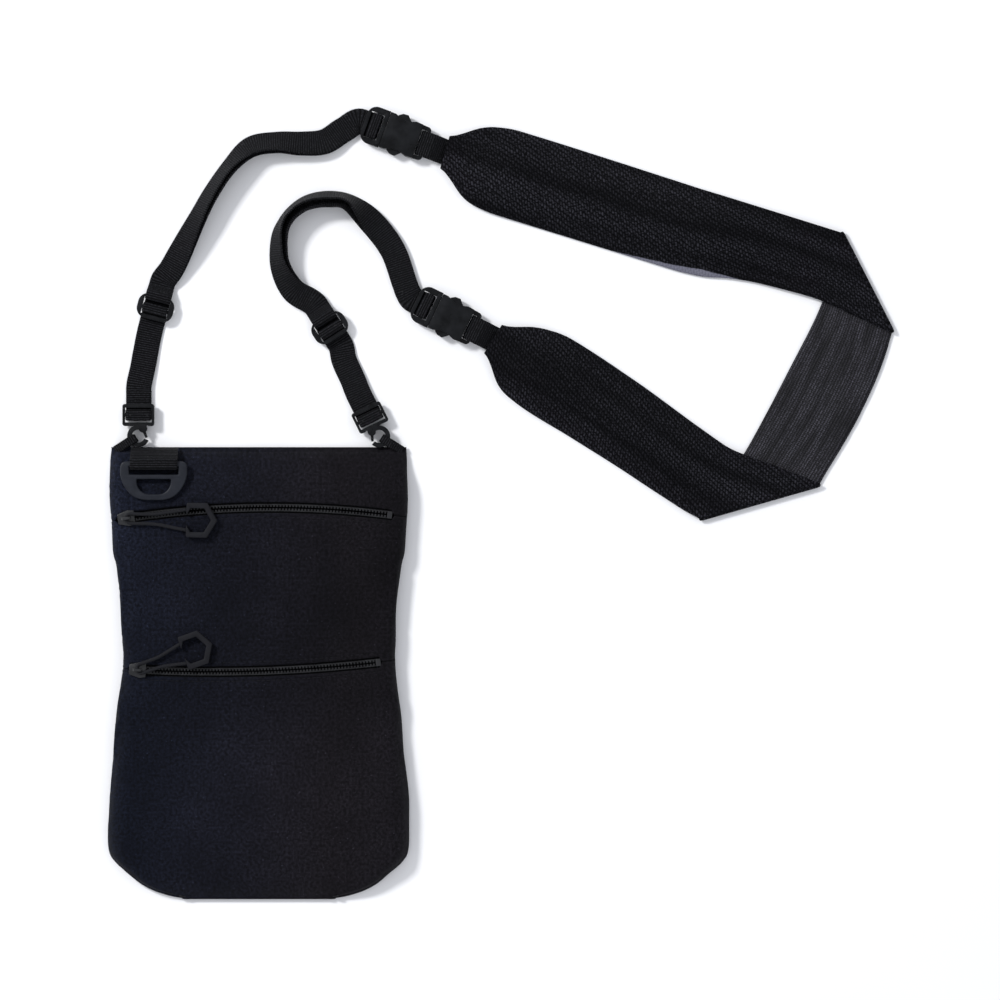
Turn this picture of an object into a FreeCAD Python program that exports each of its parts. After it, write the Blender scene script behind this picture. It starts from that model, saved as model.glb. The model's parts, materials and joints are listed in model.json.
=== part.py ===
# Vertical pouch lying on its back with its shoulder strap laid out beside it.
# Millimetres. X runs to the right and Y to the top of the pouch, Z away from the surface it lies on.
# The origin is the middle of the pouch's back, on that surface.
import FreeCAD, Part
import math
import os

import Sketcher
from FreeCAD import Placement, Rotation, Vector

os.makedirs("parts", exist_ok=True)
doc = FreeCAD.newDocument("vertical_pouch")
sheet = doc.addObject("Spreadsheet::Sheet", "sizes")

SIZES = [
    # Pouch
    ("pouch_height", 270.0, "top edge to bottom edge"),
    ("pouch_width", 179.6, "widest, at the hips"),
    ("front_height", 15.0, "front above the surface, between and around the zips"),
    ("belly_height", 18.5, "front above the surface, at the belly"),
    ("fabric", 1.2, "shell fabric with its lining"),
    ("side_clear", 0.3, "divider to the side walls"),
    ("divider_height", 8.0, "divider above the surface"),
    ("divider_sheet", 0.6, "divider fabric"),
    ("divider_bend", 1.8, "middle of the divider round its bends"),
    ("divider_foot", 4.8, "divider above the bottom edge"),
    # Zips
    ("upper_left_drop", 43.8, "upper zip, its left end below the top edge"),
    ("upper_right_drop", 41.4, "upper zip, its right end below the top edge"),
    ("upper_bow", 6.8, "upper zip, bow of the arc, upwards"),
    ("lower_left_rise", 3.0, "lower zip, its left end above the middle"),
    ("lower_right_rise", 8.0, "lower zip, its right end above the middle"),
    ("lower_sag", 3.9, "lower zip, sag of the arc, downwards"),
    ("upper_park", 10.1, "upper slider to the pouch's side"),
    ("lower_park", 9.8, "lower slider to the pouch's side"),
    ("zip_end_margin", 8.1, "end of the tapes to the pouch's side"),
    ("slot_margin", 4.2, "end of the slot to the pouch's side"),
    ("slot_width", 6.4, "opening between the panels"),
    ("tape_width", 8.5, "each tape, from its edge beside the chain"),
    ("tape_sheet", 0.5, "tape"),
    ("tape_drop", 0.4, "fabric to tape"),
    ("chain_gap", 1.0, "between the two tooth rows"),
    ("tooth_row", 1.7, "width of one tooth row"),
    ("tooth_root", 0.7, "part of that width which joins the teeth"),
    ("tooth_height", 1.4, "teeth above the tape"),
    ("tooth_pitch", 1.9, "one tooth to the next"),
    ("stop_length", 3.0, "end stop along the zip"),
    # Zip slider and its pull
    ("slider_length", 10.0, "along the zip"),
    ("slider_width", 9.6, "top plate across the zip"),
    ("slider_sole", 8.0, "bottom plate across the zip"),
    ("slider_plate", 1.0, "plate thickness"),
    ("slider_clear", 0.3, "slider to fabric"),
    ("slider_play", 0.2, "slider to teeth and tape"),
    ("post_width", 0.6, "post between the tooth rows"),
    ("slider_widest_share", 0.15, "of the slider's length: its middle to where its top is widest"),
    ("slider_mouth_share", 0.85, "of the slider's width: its top at the wide end"),
    ("slider_flange_share", 0.4, "of the slider's length: half a flange"),
    ("slider_sole_share", 0.42, "of the slider's length: half the bottom plate"),
    ("post_back_share", 0.3, "of the slider's length: post, towards the narrow end"),
    ("post_front_share", 0.25, "of the slider's length: post, towards the wide end"),
    ("bail_width", 1.6, "bail across the zip"),
    ("bail_bar", 1.0, "bail bar"),
    ("bail_eye_length", 3.4, "hole in the bail, along the zip"),
    ("bail_eye_height", 2.9, "hole in the bail, upwards"),
    ("pull_cord", 2.0, "cord diameter"),
    ("pull_spread", 12.1, "between the cord's ends at the grip"),
    ("upper_reach", 42.5, "bail to the middle of the upper grip"),
    ("lower_reach", 35.5, "bail to the middle of the lower grip"),
    ("upper_pull_turn", -10.0, "degrees, upper pull to the zip"),
    ("lower_pull_turn", 22.5, "degrees, lower pull to the zip"),
    ("grip_radius", 12.0, "hexagon, middle to corner"),
    ("grip_bar", 3.3, "width of the hexagon's bar"),
    ("grip_sheet", 3.6, "thickness of the grip"),
    ("grip_mouth", 6.6, "middle to the open side"),
    ("grip_round", 1.0, "rounded corners of the grip"),
    # D-ring and its tab
    ("tab_width", 28.0, "wide webbing of the tab"),
    ("tab_sheet", 1.2, "thickness of that webbing"),
    ("tab_bend", 0.96, "middle of that webbing round its bends"),
    ("tab_in", 27.8, "middle of the tab to the pouch's side"),
    ("ring_drop", 9.7, "hinge bar below the top edge"),
    ("ring_width", 40.0, "D-ring"),
    ("ring_reach", 23.0, "D-ring, bar to bow"),
    ("ring_sheet", 3.2, "thickness of the D-ring"),
    ("ring_bar", 2.8, "hinge bar and cross bar"),
    ("ring_rim", 3.5, "bow of the D-ring"),
    ("ring_slot", 4.9, "slot for the tab"),
    ("ring_side", 5.3, "side of the D-ring beside the slot"),
    ("ring_round", 7.0, "rounding of the bow's corners"),
    ("ring_eye_half", 10.2, "half the opening of the D"),
    ("ring_play", 0.7, "tab to hinge bar"),
    ("hinge_radius", 1.55, "round core of the hinge bar"),
    ("ring_straight_share", 0.42, "of the ring's reach: bow to the end of the straight sides"),
    ("ring_bow_share", 0.62, "of half its width: flat of the bow, and of the opening"),
    ("ring_eye_share", 0.9, "of half the opening: where its sides turn in"),
    ("ring_turn_share", 0.7, "of the rim: height of that place over the opening's foot"),
    # Narrow webbing
    ("web_width", 15.0, "narrow webbing"),
    ("web_sheet", 1.3, "thickness of that webbing"),
    ("web_gap", 0.25, "between layers, and from a layer to the plastic"),
    ("web_play", 0.5, "side of the webbing in a slot"),
    ("web_bend", 0.95, "middle of the webbing round a bar"),
    ("web_ease", 0.03, "laid webbing, slack of its edges to the straight runs"),
    ("floor_gap", 0.1, "under what lies on the surface"),
    ("tail_length", 8.0, "loose tail past the ladder frame"),
    ("lead_length", 15.0, "straight webbing after the oval slider"),
    ("lead_in", 11.25, "straight webbing before the oval slider"),
    ("plug_lead", 1.5, "straight webbing past the plug's loop"),
    # Snap hooks
    ("frame_length", 13.2, "ladder frame along the webbing"),
    ("frame_side", 1.5, "side bar of the frame"),
    ("frame_bar", 2.2, "cross bars of the frame"),
    ("frame_sheet", 3.2, "thickness of the frame"),
    ("hook_radius", 6.6, "ring of the hook, outside"),
    ("hook_bar", 2.7, "bar of the ring"),
    ("hook_sheet", 4.4, "thickness of the ring"),
    ("hook_sink", 0.6, "ring set into the frame"),
    ("lug_radius", 2.4, "lug that carries the gate"),
    ("gate_bar", 2.0, "width of the gate"),
    ("gate_sheet", 1.7, "thickness of the gate"),
    ("gate_length", 5.8, "pin to tip"),
    ("gate_tip_share", 0.7, "of the gate's width: at its tip"),
    ("mouth_reach_share", 1.3, "of the ring's radius: how far out its mouth is cut"),
    ("gate_pin_turn", -32.0, "degrees round the ring, gate's pin"),
    ("gate_tip_turn", -105.0, "degrees round the ring, gate's tip"),
    ("gate_mouth_spare", 8.0, "degrees by which the ring's mouth is wider than the gate"),
    ("left_hook_turn", 90.0, "degrees, left hook"),
    ("right_hook_turn", 116.0, "degrees, right hook"),
    ("left_loop_turn", -148.0, "degrees, left corner loop"),
    ("right_loop_turn", -32.0, "degrees, right corner loop"),
    ("gate_knuckle", 1.4, "radius of the knuckle"),
    ("pin_radius", 0.6, "gate pin"),
    ("pin_play", 0.15, "round the pin"),
    ("gate_play", 0.3, "gate to the lug and the nose"),
    ("left_hook_in", 17.8, "left frame to the pouch's side"),
    ("left_hook_above", 19.7, "left frame above the top edge"),
    ("right_hook_in", 23.1, "right frame to the pouch's side"),
    ("right_hook_above", 18.2, "right frame above the top edge"),
    ("loop_width", 5.0, "corner loop"),
    ("loop_sheet", 1.2, "thickness of the corner loop"),
    ("loop_play", 0.25, "loop to hook"),
    ("loop_reach", 16.5, "hook's middle to the end of the loop in the seam"),
    # Oval slider of the strap
    ("oval_length", 15.0, "along the webbing"),
    ("oval_width", 22.0, "across the webbing"),
    ("oval_sheet", 2.6, "thickness"),
    ("oval_round", 6.0, "rounding of its corners"),
    ("oval_bar", 2.4, "bars"),
    ("oval_first_slot", 2.9, "slot towards the hook"),
    ("seam_length", 5.25, "sewn end under the end bar"),
    ("end_turn", 0.78, "sewn end past the end bar"),
    # Side-release buckles
    ("buckle_width", 22.2, "socket at its mouth"),
    ("socket_length", 26.4, "mouth to tail"),
    ("socket_depth", 8.6, "thickness of the socket"),
    ("socket_wall", 1.5, "side wall at the mouth"),
    ("cavity_height", 4.8, "inside the socket"),
    ("cavity_length", 17.0, "inside the socket"),
    ("mouth_rim", 4.5, "rim in front of the side windows"),
    ("window_length", 10.0, "side windows"),
    ("window_bite", 1.8, "waist of the plates at the windows"),
    ("tail_width", 20.4, "socket at its tail"),
    ("tail_bar", 2.4, "bar that holds the end tab"),
    ("tail_slot", 3.2, "slot for the end tab"),
    ("rim_share", 0.7, "of the rim: mouth to where the socket narrows"),
    ("waist_front_share", 0.3, "of the windows: their front to the waist"),
    ("waist_back_share", 0.2, "of the windows: waist to their back, and as far beyond"),
    ("socket_back_share", 0.97, "of the mouth's width: behind the windows"),
    ("plug_loop", 13.4, "mouth to the rim of the webbing loop"),
    ("plug_width", 23.0, "webbing loop of the plug"),
    ("plug_sheet", 3.0, "thickness of the loop"),
    ("plug_rim", 2.2, "rim of the loop"),
    ("plug_bar", 2.2, "bar of the loop"),
    ("plug_slot", 2.8, "slot beside the shoulder"),
    ("plug_round", 6.0, "rounding of the loop"),
    ("shoulder_length", 2.4, "shoulder outside the mouth"),
    ("shoulder_width", 20.0, "shoulder"),
    ("shoulder_depth", 7.6, "thickness of the shoulder"),
    ("shoulder_gap", 0.3, "shoulder to mouth"),
    ("neck_length", 0.9, "root of the plug inside the mouth"),
    ("neck_width", 18.4, "root of the plug inside the mouth"),
    ("neck_depth", 4.2, "root of the plug inside the mouth"),
    ("tongue_length", 10.0, "guide tongue"),
    ("tongue_width", 3.6, "guide tongue"),
    ("tongue_depth", 3.4, "guide tongue"),
    ("prong_offset", 5.4, "root of a prong, from the middle"),
    ("prong_root", 1.1, "radius of a prong's root"),
    ("prong_set", 0.8, "root of a prong outside the mouth"),
    ("prong_play", 0.25, "round a prong's root"),
    ("seat_inner_share", 1.3, "of a prong's root: cut beside it, inwards"),
    ("seat_outer_share", 2.0, "of a prong's root: cut beside it, outwards"),
    ("prong_depth", 4.0, "thickness of a prong"),
    ("prong_length", 15.3, "mouth to tip"),
    ("pad_proud", 1.8, "pads outside the socket"),
    ("catch_depth", 1.4, "catch behind the rim"),
    ("arm_inner_share", 0.5, "of a prong's root: inner side of its arm at the rim"),
    ("arm_outer_share", 1.6, "of a prong's root: outer side of its arm at the rim"),
    ("arm_tip_share", 1.4, "of a prong's root: inner side of its arm at the tip"),
    ("pad_back_share", 0.42, "of the windows: their back to the back of the pad"),
    ("pad_front_share", 0.26, "of the windows: their front to the front of the pad"),
    ("pad_front_proud_share", 0.85, "of the pad: how proud it is at its front"),
    # Wide strap
    ("strap_width", 50.0, "wide webbing"),
    ("strap_sheet", 1.6, "thickness of that webbing"),
    ("strap_fold", 0.35, "inner radius of a fold"),
    ("strap_bow", 5.5, "arch of the laid webbing"),
    ("strap_settle", 60.0, "from a sewn end to where the strap lies on the surface"),
    ("strap_overlap", 4.6, "narrow end past the start of a stretch"),
    ("first_length", 261.0, "first stretch, along its middle"),
    ("second_length", 153.0, "second stretch, along its middle"),
    ("third_length", 185.8, "third stretch, along its middle"),
    ("first_turn", -16.4, "degrees, first stretch"),
    ("second_turn", -115.1, "degrees, second stretch"),
    ("third_turn", 147.8, "degrees, third stretch"),
    ("strap_start_beyond", 26.3, "start of the wide strap, beyond the pouch's side"),
    ("strap_start_above", 176.2, "start of the wide strap, above the top edge"),
    ("taper_length", 22.0, "tapered end"),
    ("taper_width", 18.5, "narrow end of the taper"),
    ("end_tab_sheet", 1.1, "thickness of the end tabs"),
    ("end_tab_sewn", 24.0, "end tab under the wide strap"),
    ("end_tab_free", 13.0, "wide strap to the bar of the socket"),
    ("end_tab_slope", 10.4, "bar of the socket to where the lower layer lies flat"),
    ("end_tab_bend", 0.825, "middle of the tab round the bar"),
    ("upper_buckle_turn", -20.0, "degrees, upper buckle"),
    ("lower_buckle_turn", -26.0, "degrees, lower buckle"),
    # Cutting
    ("overrun", 1.0, "how far a cut runs past what it cuts"),
]

for row, (alias, number, note) in enumerate(SIZES, start=1):
    sheet.set("A%d" % row, alias)
    sheet.set("B%d" % row, str(number))
    sheet.set("C%d" % row, note)
    sheet.setAlias("B%d" % row, alias)
doc.recompute()

UP = Vector(0, 0, 1)
NOTHING = 1e-9
UPRIGHT_SHARE = 0.999


def mm(alias):
    """A size of the sheet."""
    return float(sheet.get(alias))


def value(formula):
    """The number that a formula of the sheet gives."""
    if formula == "0":
        return 0.0
    found = sheet.evalExpression(formula)
    return float(getattr(found, "Value", found))


# Sketched bodies


def make_body(name):
    item = doc.addObject("PartDesign::Body", name)
    item.Label = name
    return item


def new_sketch(item, role, lift):
    """A sketch on one of the body's own planes, lifted off it by a formula."""
    drawing = item.newObject("Sketcher::SketchObject", item.Name + "_sketch")
    for feature in item.Origin.OriginFeatures:
        if feature.Role == role:
            drawing.AttachmentSupport = (feature, [""])
    drawing.MapMode = "FlatFace"
    if lift != "0":
        drawing.setExpression("AttachmentOffset.Base.z", lift)
    return drawing


def pin_point(drawing, edge, end, across, along):
    """Tie a point of the sketch to two formulas of the sheet."""
    for kind, formula, axis in (("DistanceX", across, -2), ("DistanceY", along, -1)):
        number = value(formula)
        if abs(number) < NOTHING:
            drawing.addConstraint(Sketcher.Constraint("PointOnObject", edge, end, axis))
            continue
        index = drawing.addConstraint(Sketcher.Constraint(kind, -1, 1, edge, end, number))
        drawing.setExpression("Constraints[%d]" % index, formula)


def add_outline(drawing, corners):
    """Closed outline of straight edges through corners given as pairs of formulas."""
    places = [Vector(value(x), value(y), 0) for x, y in corners]
    first = drawing.GeometryCount
    count = len(places)
    for index in range(count):
        drawing.addGeometry(Part.LineSegment(places[index], places[(index + 1) % count]), False)
    for index in range(count):
        following = first + (index + 1) % count
        drawing.addConstraint(Sketcher.Constraint("Coincident", first + index, 2, following, 1))
    for index, (x, y) in enumerate(corners):
        pin_point(drawing, first + index, 1, x, y)


def add_circle(drawing, x, y, radius):
    place = Vector(value(x), value(y), 0)
    edge = drawing.addGeometry(Part.Circle(place, UP, value(radius)), False)
    pin_point(drawing, edge, 3, x, y)
    index = drawing.addConstraint(Sketcher.Constraint("Radius", edge, value(radius)))
    drawing.setExpression("Constraints[%d]" % index, radius)


def add_feature(item, kind, drawing, length, midplane):
    feature = item.newObject("PartDesign::" + kind, item.Name + "_" + kind.lower())
    feature.Profile = drawing
    feature.setExpression("Length", length)
    if midplane:
        feature.Midplane = True
    doc.recompute()
    return feature


def pad(item, corners, length, lift="0", role="XY_Plane", midplane=True):
    drawing = new_sketch(item, role, lift)
    add_outline(drawing, corners)
    return add_feature(item, "Pad", drawing, length, midplane)


def pocket(item, corners, length, lift="0", role="XY_Plane"):
    drawing = new_sketch(item, role, lift)
    add_outline(drawing, corners)
    return add_feature(item, "Pocket", drawing, length, True)


def pad_circle(item, x, y, radius, length, lift="0", role="XY_Plane"):
    drawing = new_sketch(item, role, lift)
    add_circle(drawing, x, y, radius)
    return add_feature(item, "Pad", drawing, length, True)


def pocket_circle(item, x, y, radius, length, lift="0"):
    drawing = new_sketch(item, "XY_Plane", lift)
    add_circle(drawing, x, y, radius)
    return add_feature(item, "Pocket", drawing, length, True)


def block(x_low, x_high, y_low, y_high):
    """Corners of a rectangle between four formulas."""
    return [(x_low, y_low), (x_high, y_low), (x_high, y_high), (x_low, y_high)]


def round_edges(item, chosen, radius):
    """Fillet the edges that the given test picks from the body's last feature."""
    base = item.Tip
    names = ["Edge%d" % (i + 1) for i, e in enumerate(base.Shape.Edges) if chosen(e)]
    feature = item.newObject("PartDesign::Fillet", item.Name + "_fillet")
    feature.Base = (base, names)
    feature.setExpression("Radius", radius)
    doc.recompute()
    return feature


def upright(edge):
    """Whether an edge runs straight along the thickness."""
    if edge.Curve.TypeId != "Part::GeomLine":
        return False
    return abs(edge.tangentAt(edge.FirstParameter).z) > UPRIGHT_SHARE


def place(item, origin, turn=0.0, tilt=0.0):
    """Set a piece down: tilt about its own X axis first, then turn about Z."""
    turned = Rotation(UP, turn).multiply(Rotation(Vector(1, 0, 0), tilt))
    item.Placement = Placement(origin, turned)


# Sewn and laid pieces


def soft_piece(name, shape):
    item = doc.addObject("Part::Feature", name)
    item.Label = name
    item.Shape = shape
    return item


def ribbon(points, bend, sheet_size):
    """Face of a folded band seen on edge: a middle line through points, each corner an arc."""
    half = sheet_size / 2
    stations = [(points[0], points[0], None)]
    for before, corner, after in zip(points, points[1:], points[2:]):
        back = (before - corner).normalize()
        ahead = (after - corner).normalize()
        turn = math.pi - back.getAngle(ahead)
        reach = bend * math.tan(turn / 2)
        bisector = (back + ahead).normalize()
        centre = corner + bisector * (bend / math.cos(turn / 2))
        stations.append((corner + back * reach, corner + ahead * reach, centre))
    stations.append((points[-1], points[-1], None))

    def side(sign):
        edges = []
        last = None
        for index, (start, end, centre) in enumerate(stations):
            before = points[index - 1] if index else points[0]
            along_in = (points[index] - before) if index else points[1] - points[0]
            along_in = Vector(along_in).normalize()
            after = points[index + 1] if index + 1 < len(points) else points[-1]
            along_out = (after - points[index]) if index + 1 < len(points) else Vector(along_in)
            along_out = Vector(along_out).normalize()
            normal_in = Vector(-along_in.y, along_in.x, 0) * (sign * half)
            normal_out = Vector(-along_out.y, along_out.x, 0) * (sign * half)
            first = start + normal_in
            if last is not None:
                edges.append(Part.LineSegment(last, first).toShape())
            if centre is None:
                last = first
                continue
            second = end + normal_out
            spoke = (first + second) * 0.5 - centre
            radius = (first - centre).Length
            middle = centre + spoke.normalize() * radius
            edges.append(Part.Arc(first, middle, second).toShape())
            last = second
        return edges

    left = side(1)
    right = side(-1)
    caps = []
    for index in (0, -1):
        a = left[index].Vertexes[index].Point
        b = right[index].Vertexes[index].Point
        caps.append(Part.LineSegment(a, b).toShape())
    ordered = Part.sortEdges(left + right + caps)[0]
    return Part.Face(Part.Wire(ordered))


def folded_band(points, bend, sheet_size, width):
    """Solid of a folded band: its profile lies in X and Z, its width along Y."""
    flat = [Vector(x, z, 0) for x, z in points]
    face = ribbon(flat, bend, sheet_size)
    solid = face.extrude(Vector(0, 0, width))
    solid.translate(Vector(0, 0, -width / 2))
    solid.rotate(Vector(0, 0, 0), Vector(1, 0, 0), 90)
    return solid


def heading(degrees):
    angle = math.radians(degrees)
    return Vector(math.cos(angle), math.sin(angle), 0)


def leftwards(direction):
    return Vector(-direction.y, direction.x, 0)


def set_down(shape, origin, turn):
    """A copy of a shape turned about Z and moved to its place."""
    copy = shape.copy()
    copy.rotate(Vector(0, 0, 0), UP, turn)
    copy.translate(origin)
    return copy


def polygon_prism(corners, low, high):
    """Upright prism over corners in the plane."""
    ring = [Vector(c.x, c.y, low) for c in corners]
    return Part.Face(Part.makePolygon(ring + [ring[0]])).extrude(UP * (high - low))


# Pouch shell
# Each row: place along the height, half width, share of the front's height, share of the belly's rise.
SHELL_SHARES = [
    (1.0, 0.980, 0.40, 0.0),
    (0.978, 0.984, 0.60, 0.0),
    (0.941, 0.990, 0.77, 0.0),
    (0.822, 0.993, 1.0, 0.0),
    (0.704, 0.989, 1.0, 0.0),
    (0.548, 0.970, 1.0, 0.0),
    (0.444, 0.937, 1.0, 0.0),
    (0.148, 0.910, 1.0, 0.0),
    (0.067, 0.905, 1.0, 0.0),
    (-0.089, 0.925, 1.0, 0.0),
    (-0.267, 0.961, 1.0, 0.45),
    (-0.474, 0.985, 1.0, 0.95),
    (-0.607, 1.0, 1.0, 1.0),
    (-0.778, 0.997, 1.0, 0.7),
    (-0.840, 0.955, 1.0, 0.25),
    (-0.890, 0.875, 0.93, 0.0),
    (-0.937, 0.775, 0.77, 0.0),
    (-0.970, 0.660, 0.60, 0.0),
    (-0.990, 0.550, 0.45, 0.0),
    (-1.0, 0.470, 0.36, 0.0),
]
SIDE_ROUND_SHARE = 0.6


def shell_height(front_share, belly_share):
    rise = mm("belly_height") - mm("front_height")
    return mm("front_height") * front_share + rise * belly_share


def front_surface(y):
    """Height of the pouch's front over a place along its middle line."""
    half = mm("pouch_height") / 2
    rows = [(row[0] * half, shell_height(row[2], row[3])) for row in SHELL_SHARES]
    for (y_high, z_high), (y_low, z_low) in zip(rows, rows[1:]):
        if y_low <= y <= y_high:
            return z_low + (z_high - z_low) * (y - y_low) / (y_high - y_low)
    return rows[0][1]


def half_width_at(y):
    half = mm("pouch_height") / 2
    rows = [(row[0] * half, row[1] * mm("pouch_width") / 2) for row in SHELL_SHARES]
    for (y_high, x_high), (y_low, x_low) in zip(rows, rows[1:]):
        if y_low <= y <= y_high:
            return x_low + (x_high - x_low) * (y - y_low) / (y_high - y_low)
    return rows[0][1]


def shell_section(y, half, low, high, corner):
    """Cross section of the pouch: flat back, upright sides and round shoulders."""
    cut = corner * (1 - math.sqrt(0.5))
    shoulder = high - corner
    points = [
        Vector(-half, y, low),
        Vector(half, y, low),
        Vector(half, y, shoulder),
        Vector(half - corner, y, high),
        Vector(-half + corner, y, high),
        Vector(-half, y, shoulder),
    ]
    right = Part.Arc(points[2], Vector(half - cut, y, high - cut), points[3]).toShape()
    left = Part.Arc(points[4], Vector(-half + cut, y, high - cut), points[5]).toShape()
    return Part.Wire(
        [
            Part.LineSegment(points[0], points[1]).toShape(),
            Part.LineSegment(points[1], points[2]).toShape(),
            right,
            Part.LineSegment(points[3], points[4]).toShape(),
            left,
            Part.LineSegment(points[5], points[0]).toShape(),
        ]
    )


def shell_form(inset, foot=None):
    """The pouch's outer form, or its form inset by a wall. The foot is the height of its underside."""
    reach = mm("pouch_height") / 2 - inset
    low = inset if foot is None else foot
    sections = []
    for y_share, width_share, front_share, belly_share in SHELL_SHARES:
        height = shell_height(front_share, belly_share)
        half = mm("pouch_width") / 2 * width_share - inset
        corner = height * SIDE_ROUND_SHARE - inset
        sections.append(shell_section(y_share * reach, half, low, height - inset, corner))
    return Part.makeLoft(sections, True, True)


# Zips


class ZipLine:
    """A zip laid along an arc of the front, with places given along and beside it."""

    def __init__(self, left_rise, right_rise, bow):
        half = half_width_at((left_rise + right_rise) / 2)
        left = Vector(-half, left_rise, 0)
        right = Vector(half, right_rise, 0)
        chord = right - left
        self.side = 1 if bow > 0 else -1
        self.slope = math.atan2(chord.y, chord.x)
        rise = abs(bow)
        self.radius = (chord.Length**2 / 4 + rise**2) / (2 * rise)
        up = Vector(-math.sin(self.slope), math.cos(self.slope), 0)
        self.centre = (left + right) * 0.5 + up * (self.side * (rise - self.radius))
        self.half_chord = half

    def angle(self, along):
        return self.slope - self.side * along / self.radius

    def at(self, along, beside=0.0):
        angle = self.angle(along)
        up = Vector(-math.sin(angle), math.cos(angle), 0)
        return self.centre + up * (self.side * self.radius + beside)

    def along_at(self, x):
        """How far along the zip the place over x lies, from the zip's middle."""
        angle = math.asin((self.centre.x - x) / (self.side * self.radius))
        return (self.slope - angle) * self.radius * self.side

    def band(self, start, end, inner, outer, low, high):
        """Solid strip beside the zip, from start to end along it."""
        middle = (start + end) / 2
        a, b, c = (self.at(s, inner) for s in (start, middle, end))
        d, e, f = (self.at(s, outer) for s in (end, middle, start))
        edges = [
            Part.Arc(a, b, c).toShape(),
            Part.LineSegment(c, d).toShape(),
            Part.Arc(d, e, f).toShape(),
            Part.LineSegment(f, a).toShape(),
        ]
        face = Part.Face(Part.Wire(edges))
        solid = face.extrude(UP * (high - low))
        solid.translate(UP * low)
        return solid


top_edge = mm("pouch_height") / 2
upper_zip = ZipLine(
    top_edge - mm("upper_left_drop"), top_edge - mm("upper_right_drop"), mm("upper_bow")
)
lower_zip = ZipLine(mm("lower_left_rise"), mm("lower_right_rise"), -mm("lower_sag"))
front_top = mm("front_height")
tape_top = front_top - mm("fabric") - mm("tape_drop")


def make_shell():
    """Back panel, and the front cut into three panels along the two zips."""
    outer = shell_form(0.0)
    inner = shell_form(mm("fabric"))
    half_height = mm("pouch_height") / 2 + mm("overrun")
    half_width = mm("pouch_width") / 2 + mm("overrun")
    slab = Part.makeBox(
        half_width * 2, half_height * 2, mm("fabric"), Vector(-half_width, -half_height, 0)
    )
    soft_piece("back_panel", shell_form(0.0, -mm("overrun")).common(slab))
    front = outer.cut(inner).cut(slab)
    top_z = mm("belly_height") + mm("overrun")
    panels = {}
    for zip_line, tag in ((upper_zip, "upper"), (lower_zip, "lower")):
        reach = mm("pouch_width")
        above = zip_line.band(-reach, reach, 0.0, half_height * 2, 0.0, top_z)
        panels[tag] = above
        ends = zip_line.half_chord - mm("slot_margin")
        half_slot = mm("slot_width") / 2
        slot = zip_line.band(-ends, ends, -half_slot, half_slot, front_top / 2, top_z)
        front = front.cut(slot)
    soft_piece("front_top_strip", front.common(panels["upper"]))
    below = front.cut(panels["upper"])
    soft_piece("front_middle_panel", below.common(panels["lower"]))
    soft_piece("front_lower_panel", below.cut(panels["lower"]))


def make_divider():
    """Sheet between the main room and the front pocket, hung from the upper zip's lower tape."""
    room = shell_form(mm("fabric") + mm("side_clear"))
    thick = mm("divider_sheet")
    level = mm("divider_height")
    foot = -mm("pouch_height") / 2 + mm("divider_foot")
    top = tape_top - mm("tape_sheet") - thick / 2
    lift = top - level
    hang = top_edge - mm("upper_left_drop") - mm("slider_width") / 2 - mm("fabric") - lift
    profile = [(foot, level), (hang - lift * 2, level), (hang, top), (hang + lift, top)]
    sheet_solid = folded_band(profile, mm("divider_bend"), thick, mm("pouch_width"))
    sheet_solid.rotate(Vector(0, 0, 0), UP, 90)
    soft_piece("pocket_divider", sheet_solid.common(room))


# Where the first tooth of each row starts, in shares of the pitch
UPPER_PHASE_SHARE = 0.25
LOWER_PHASE_SHARE = 0.75


def tooth_row(zip_line, start, end, side, phase):
    """One row of teeth on its cord, as a comb along the zip."""
    inner = mm("chain_gap") / 2 * side
    outer = inner + mm("tooth_row") * side
    root = outer - mm("tooth_root") * side
    pitch = mm("tooth_pitch")
    count = int((end - start) / pitch) - 1
    points = [zip_line.at(start, outer)]
    corners = [zip_line.at(start, root)]
    for index in range(count):
        along = start + pitch * (index + phase)
        corners.append(zip_line.at(along, root))
        corners.append(zip_line.at(along, inner))
        corners.append(zip_line.at(along + pitch / 2, inner))
        corners.append(zip_line.at(along + pitch / 2, root))
    corners.append(zip_line.at(end, root))
    edges = [Part.makePolygon(points + corners + [zip_line.at(end, outer)])]
    edges.append(
        Part.Arc(
            zip_line.at(end, outer), zip_line.at((start + end) / 2, outer), points[0]
        ).toShape()
    )
    wire = Part.Wire([edge for shape in edges for edge in shape.Edges])
    solid = Part.Face(wire).extrude(UP * mm("tooth_height"))
    solid.translate(UP * tape_top)
    return solid


def make_zip(tag, zip_line):
    """Tapes, tooth rows and end stop of one zip."""
    reach = zip_line.half_chord - mm("zip_end_margin")
    gap = mm("chain_gap") / 2
    wide = gap + mm("tape_width")
    low = tape_top - mm("tape_sheet")
    soft_piece(tag + "_zip_upper_tape", zip_line.band(-reach, reach, gap, wide, low, tape_top))
    soft_piece(tag + "_zip_lower_tape", zip_line.band(-reach, reach, -wide, -gap, low, tape_top))
    stop = reach - mm("stop_length")
    end = stop - mm("slider_play")
    upper_row = tooth_row(zip_line, -reach, end, 1, UPPER_PHASE_SHARE)
    lower_row = tooth_row(zip_line, -reach, end, -1, LOWER_PHASE_SHARE)
    soft_piece(tag + "_zip_upper_teeth", upper_row)
    soft_piece(tag + "_zip_lower_teeth", lower_row)
    half = gap + mm("tooth_row")
    high = tape_top + mm("tooth_height")
    soft_piece(tag + "_zip_end_stop", zip_line.band(stop, reach, -half, half, tape_top, high))


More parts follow.
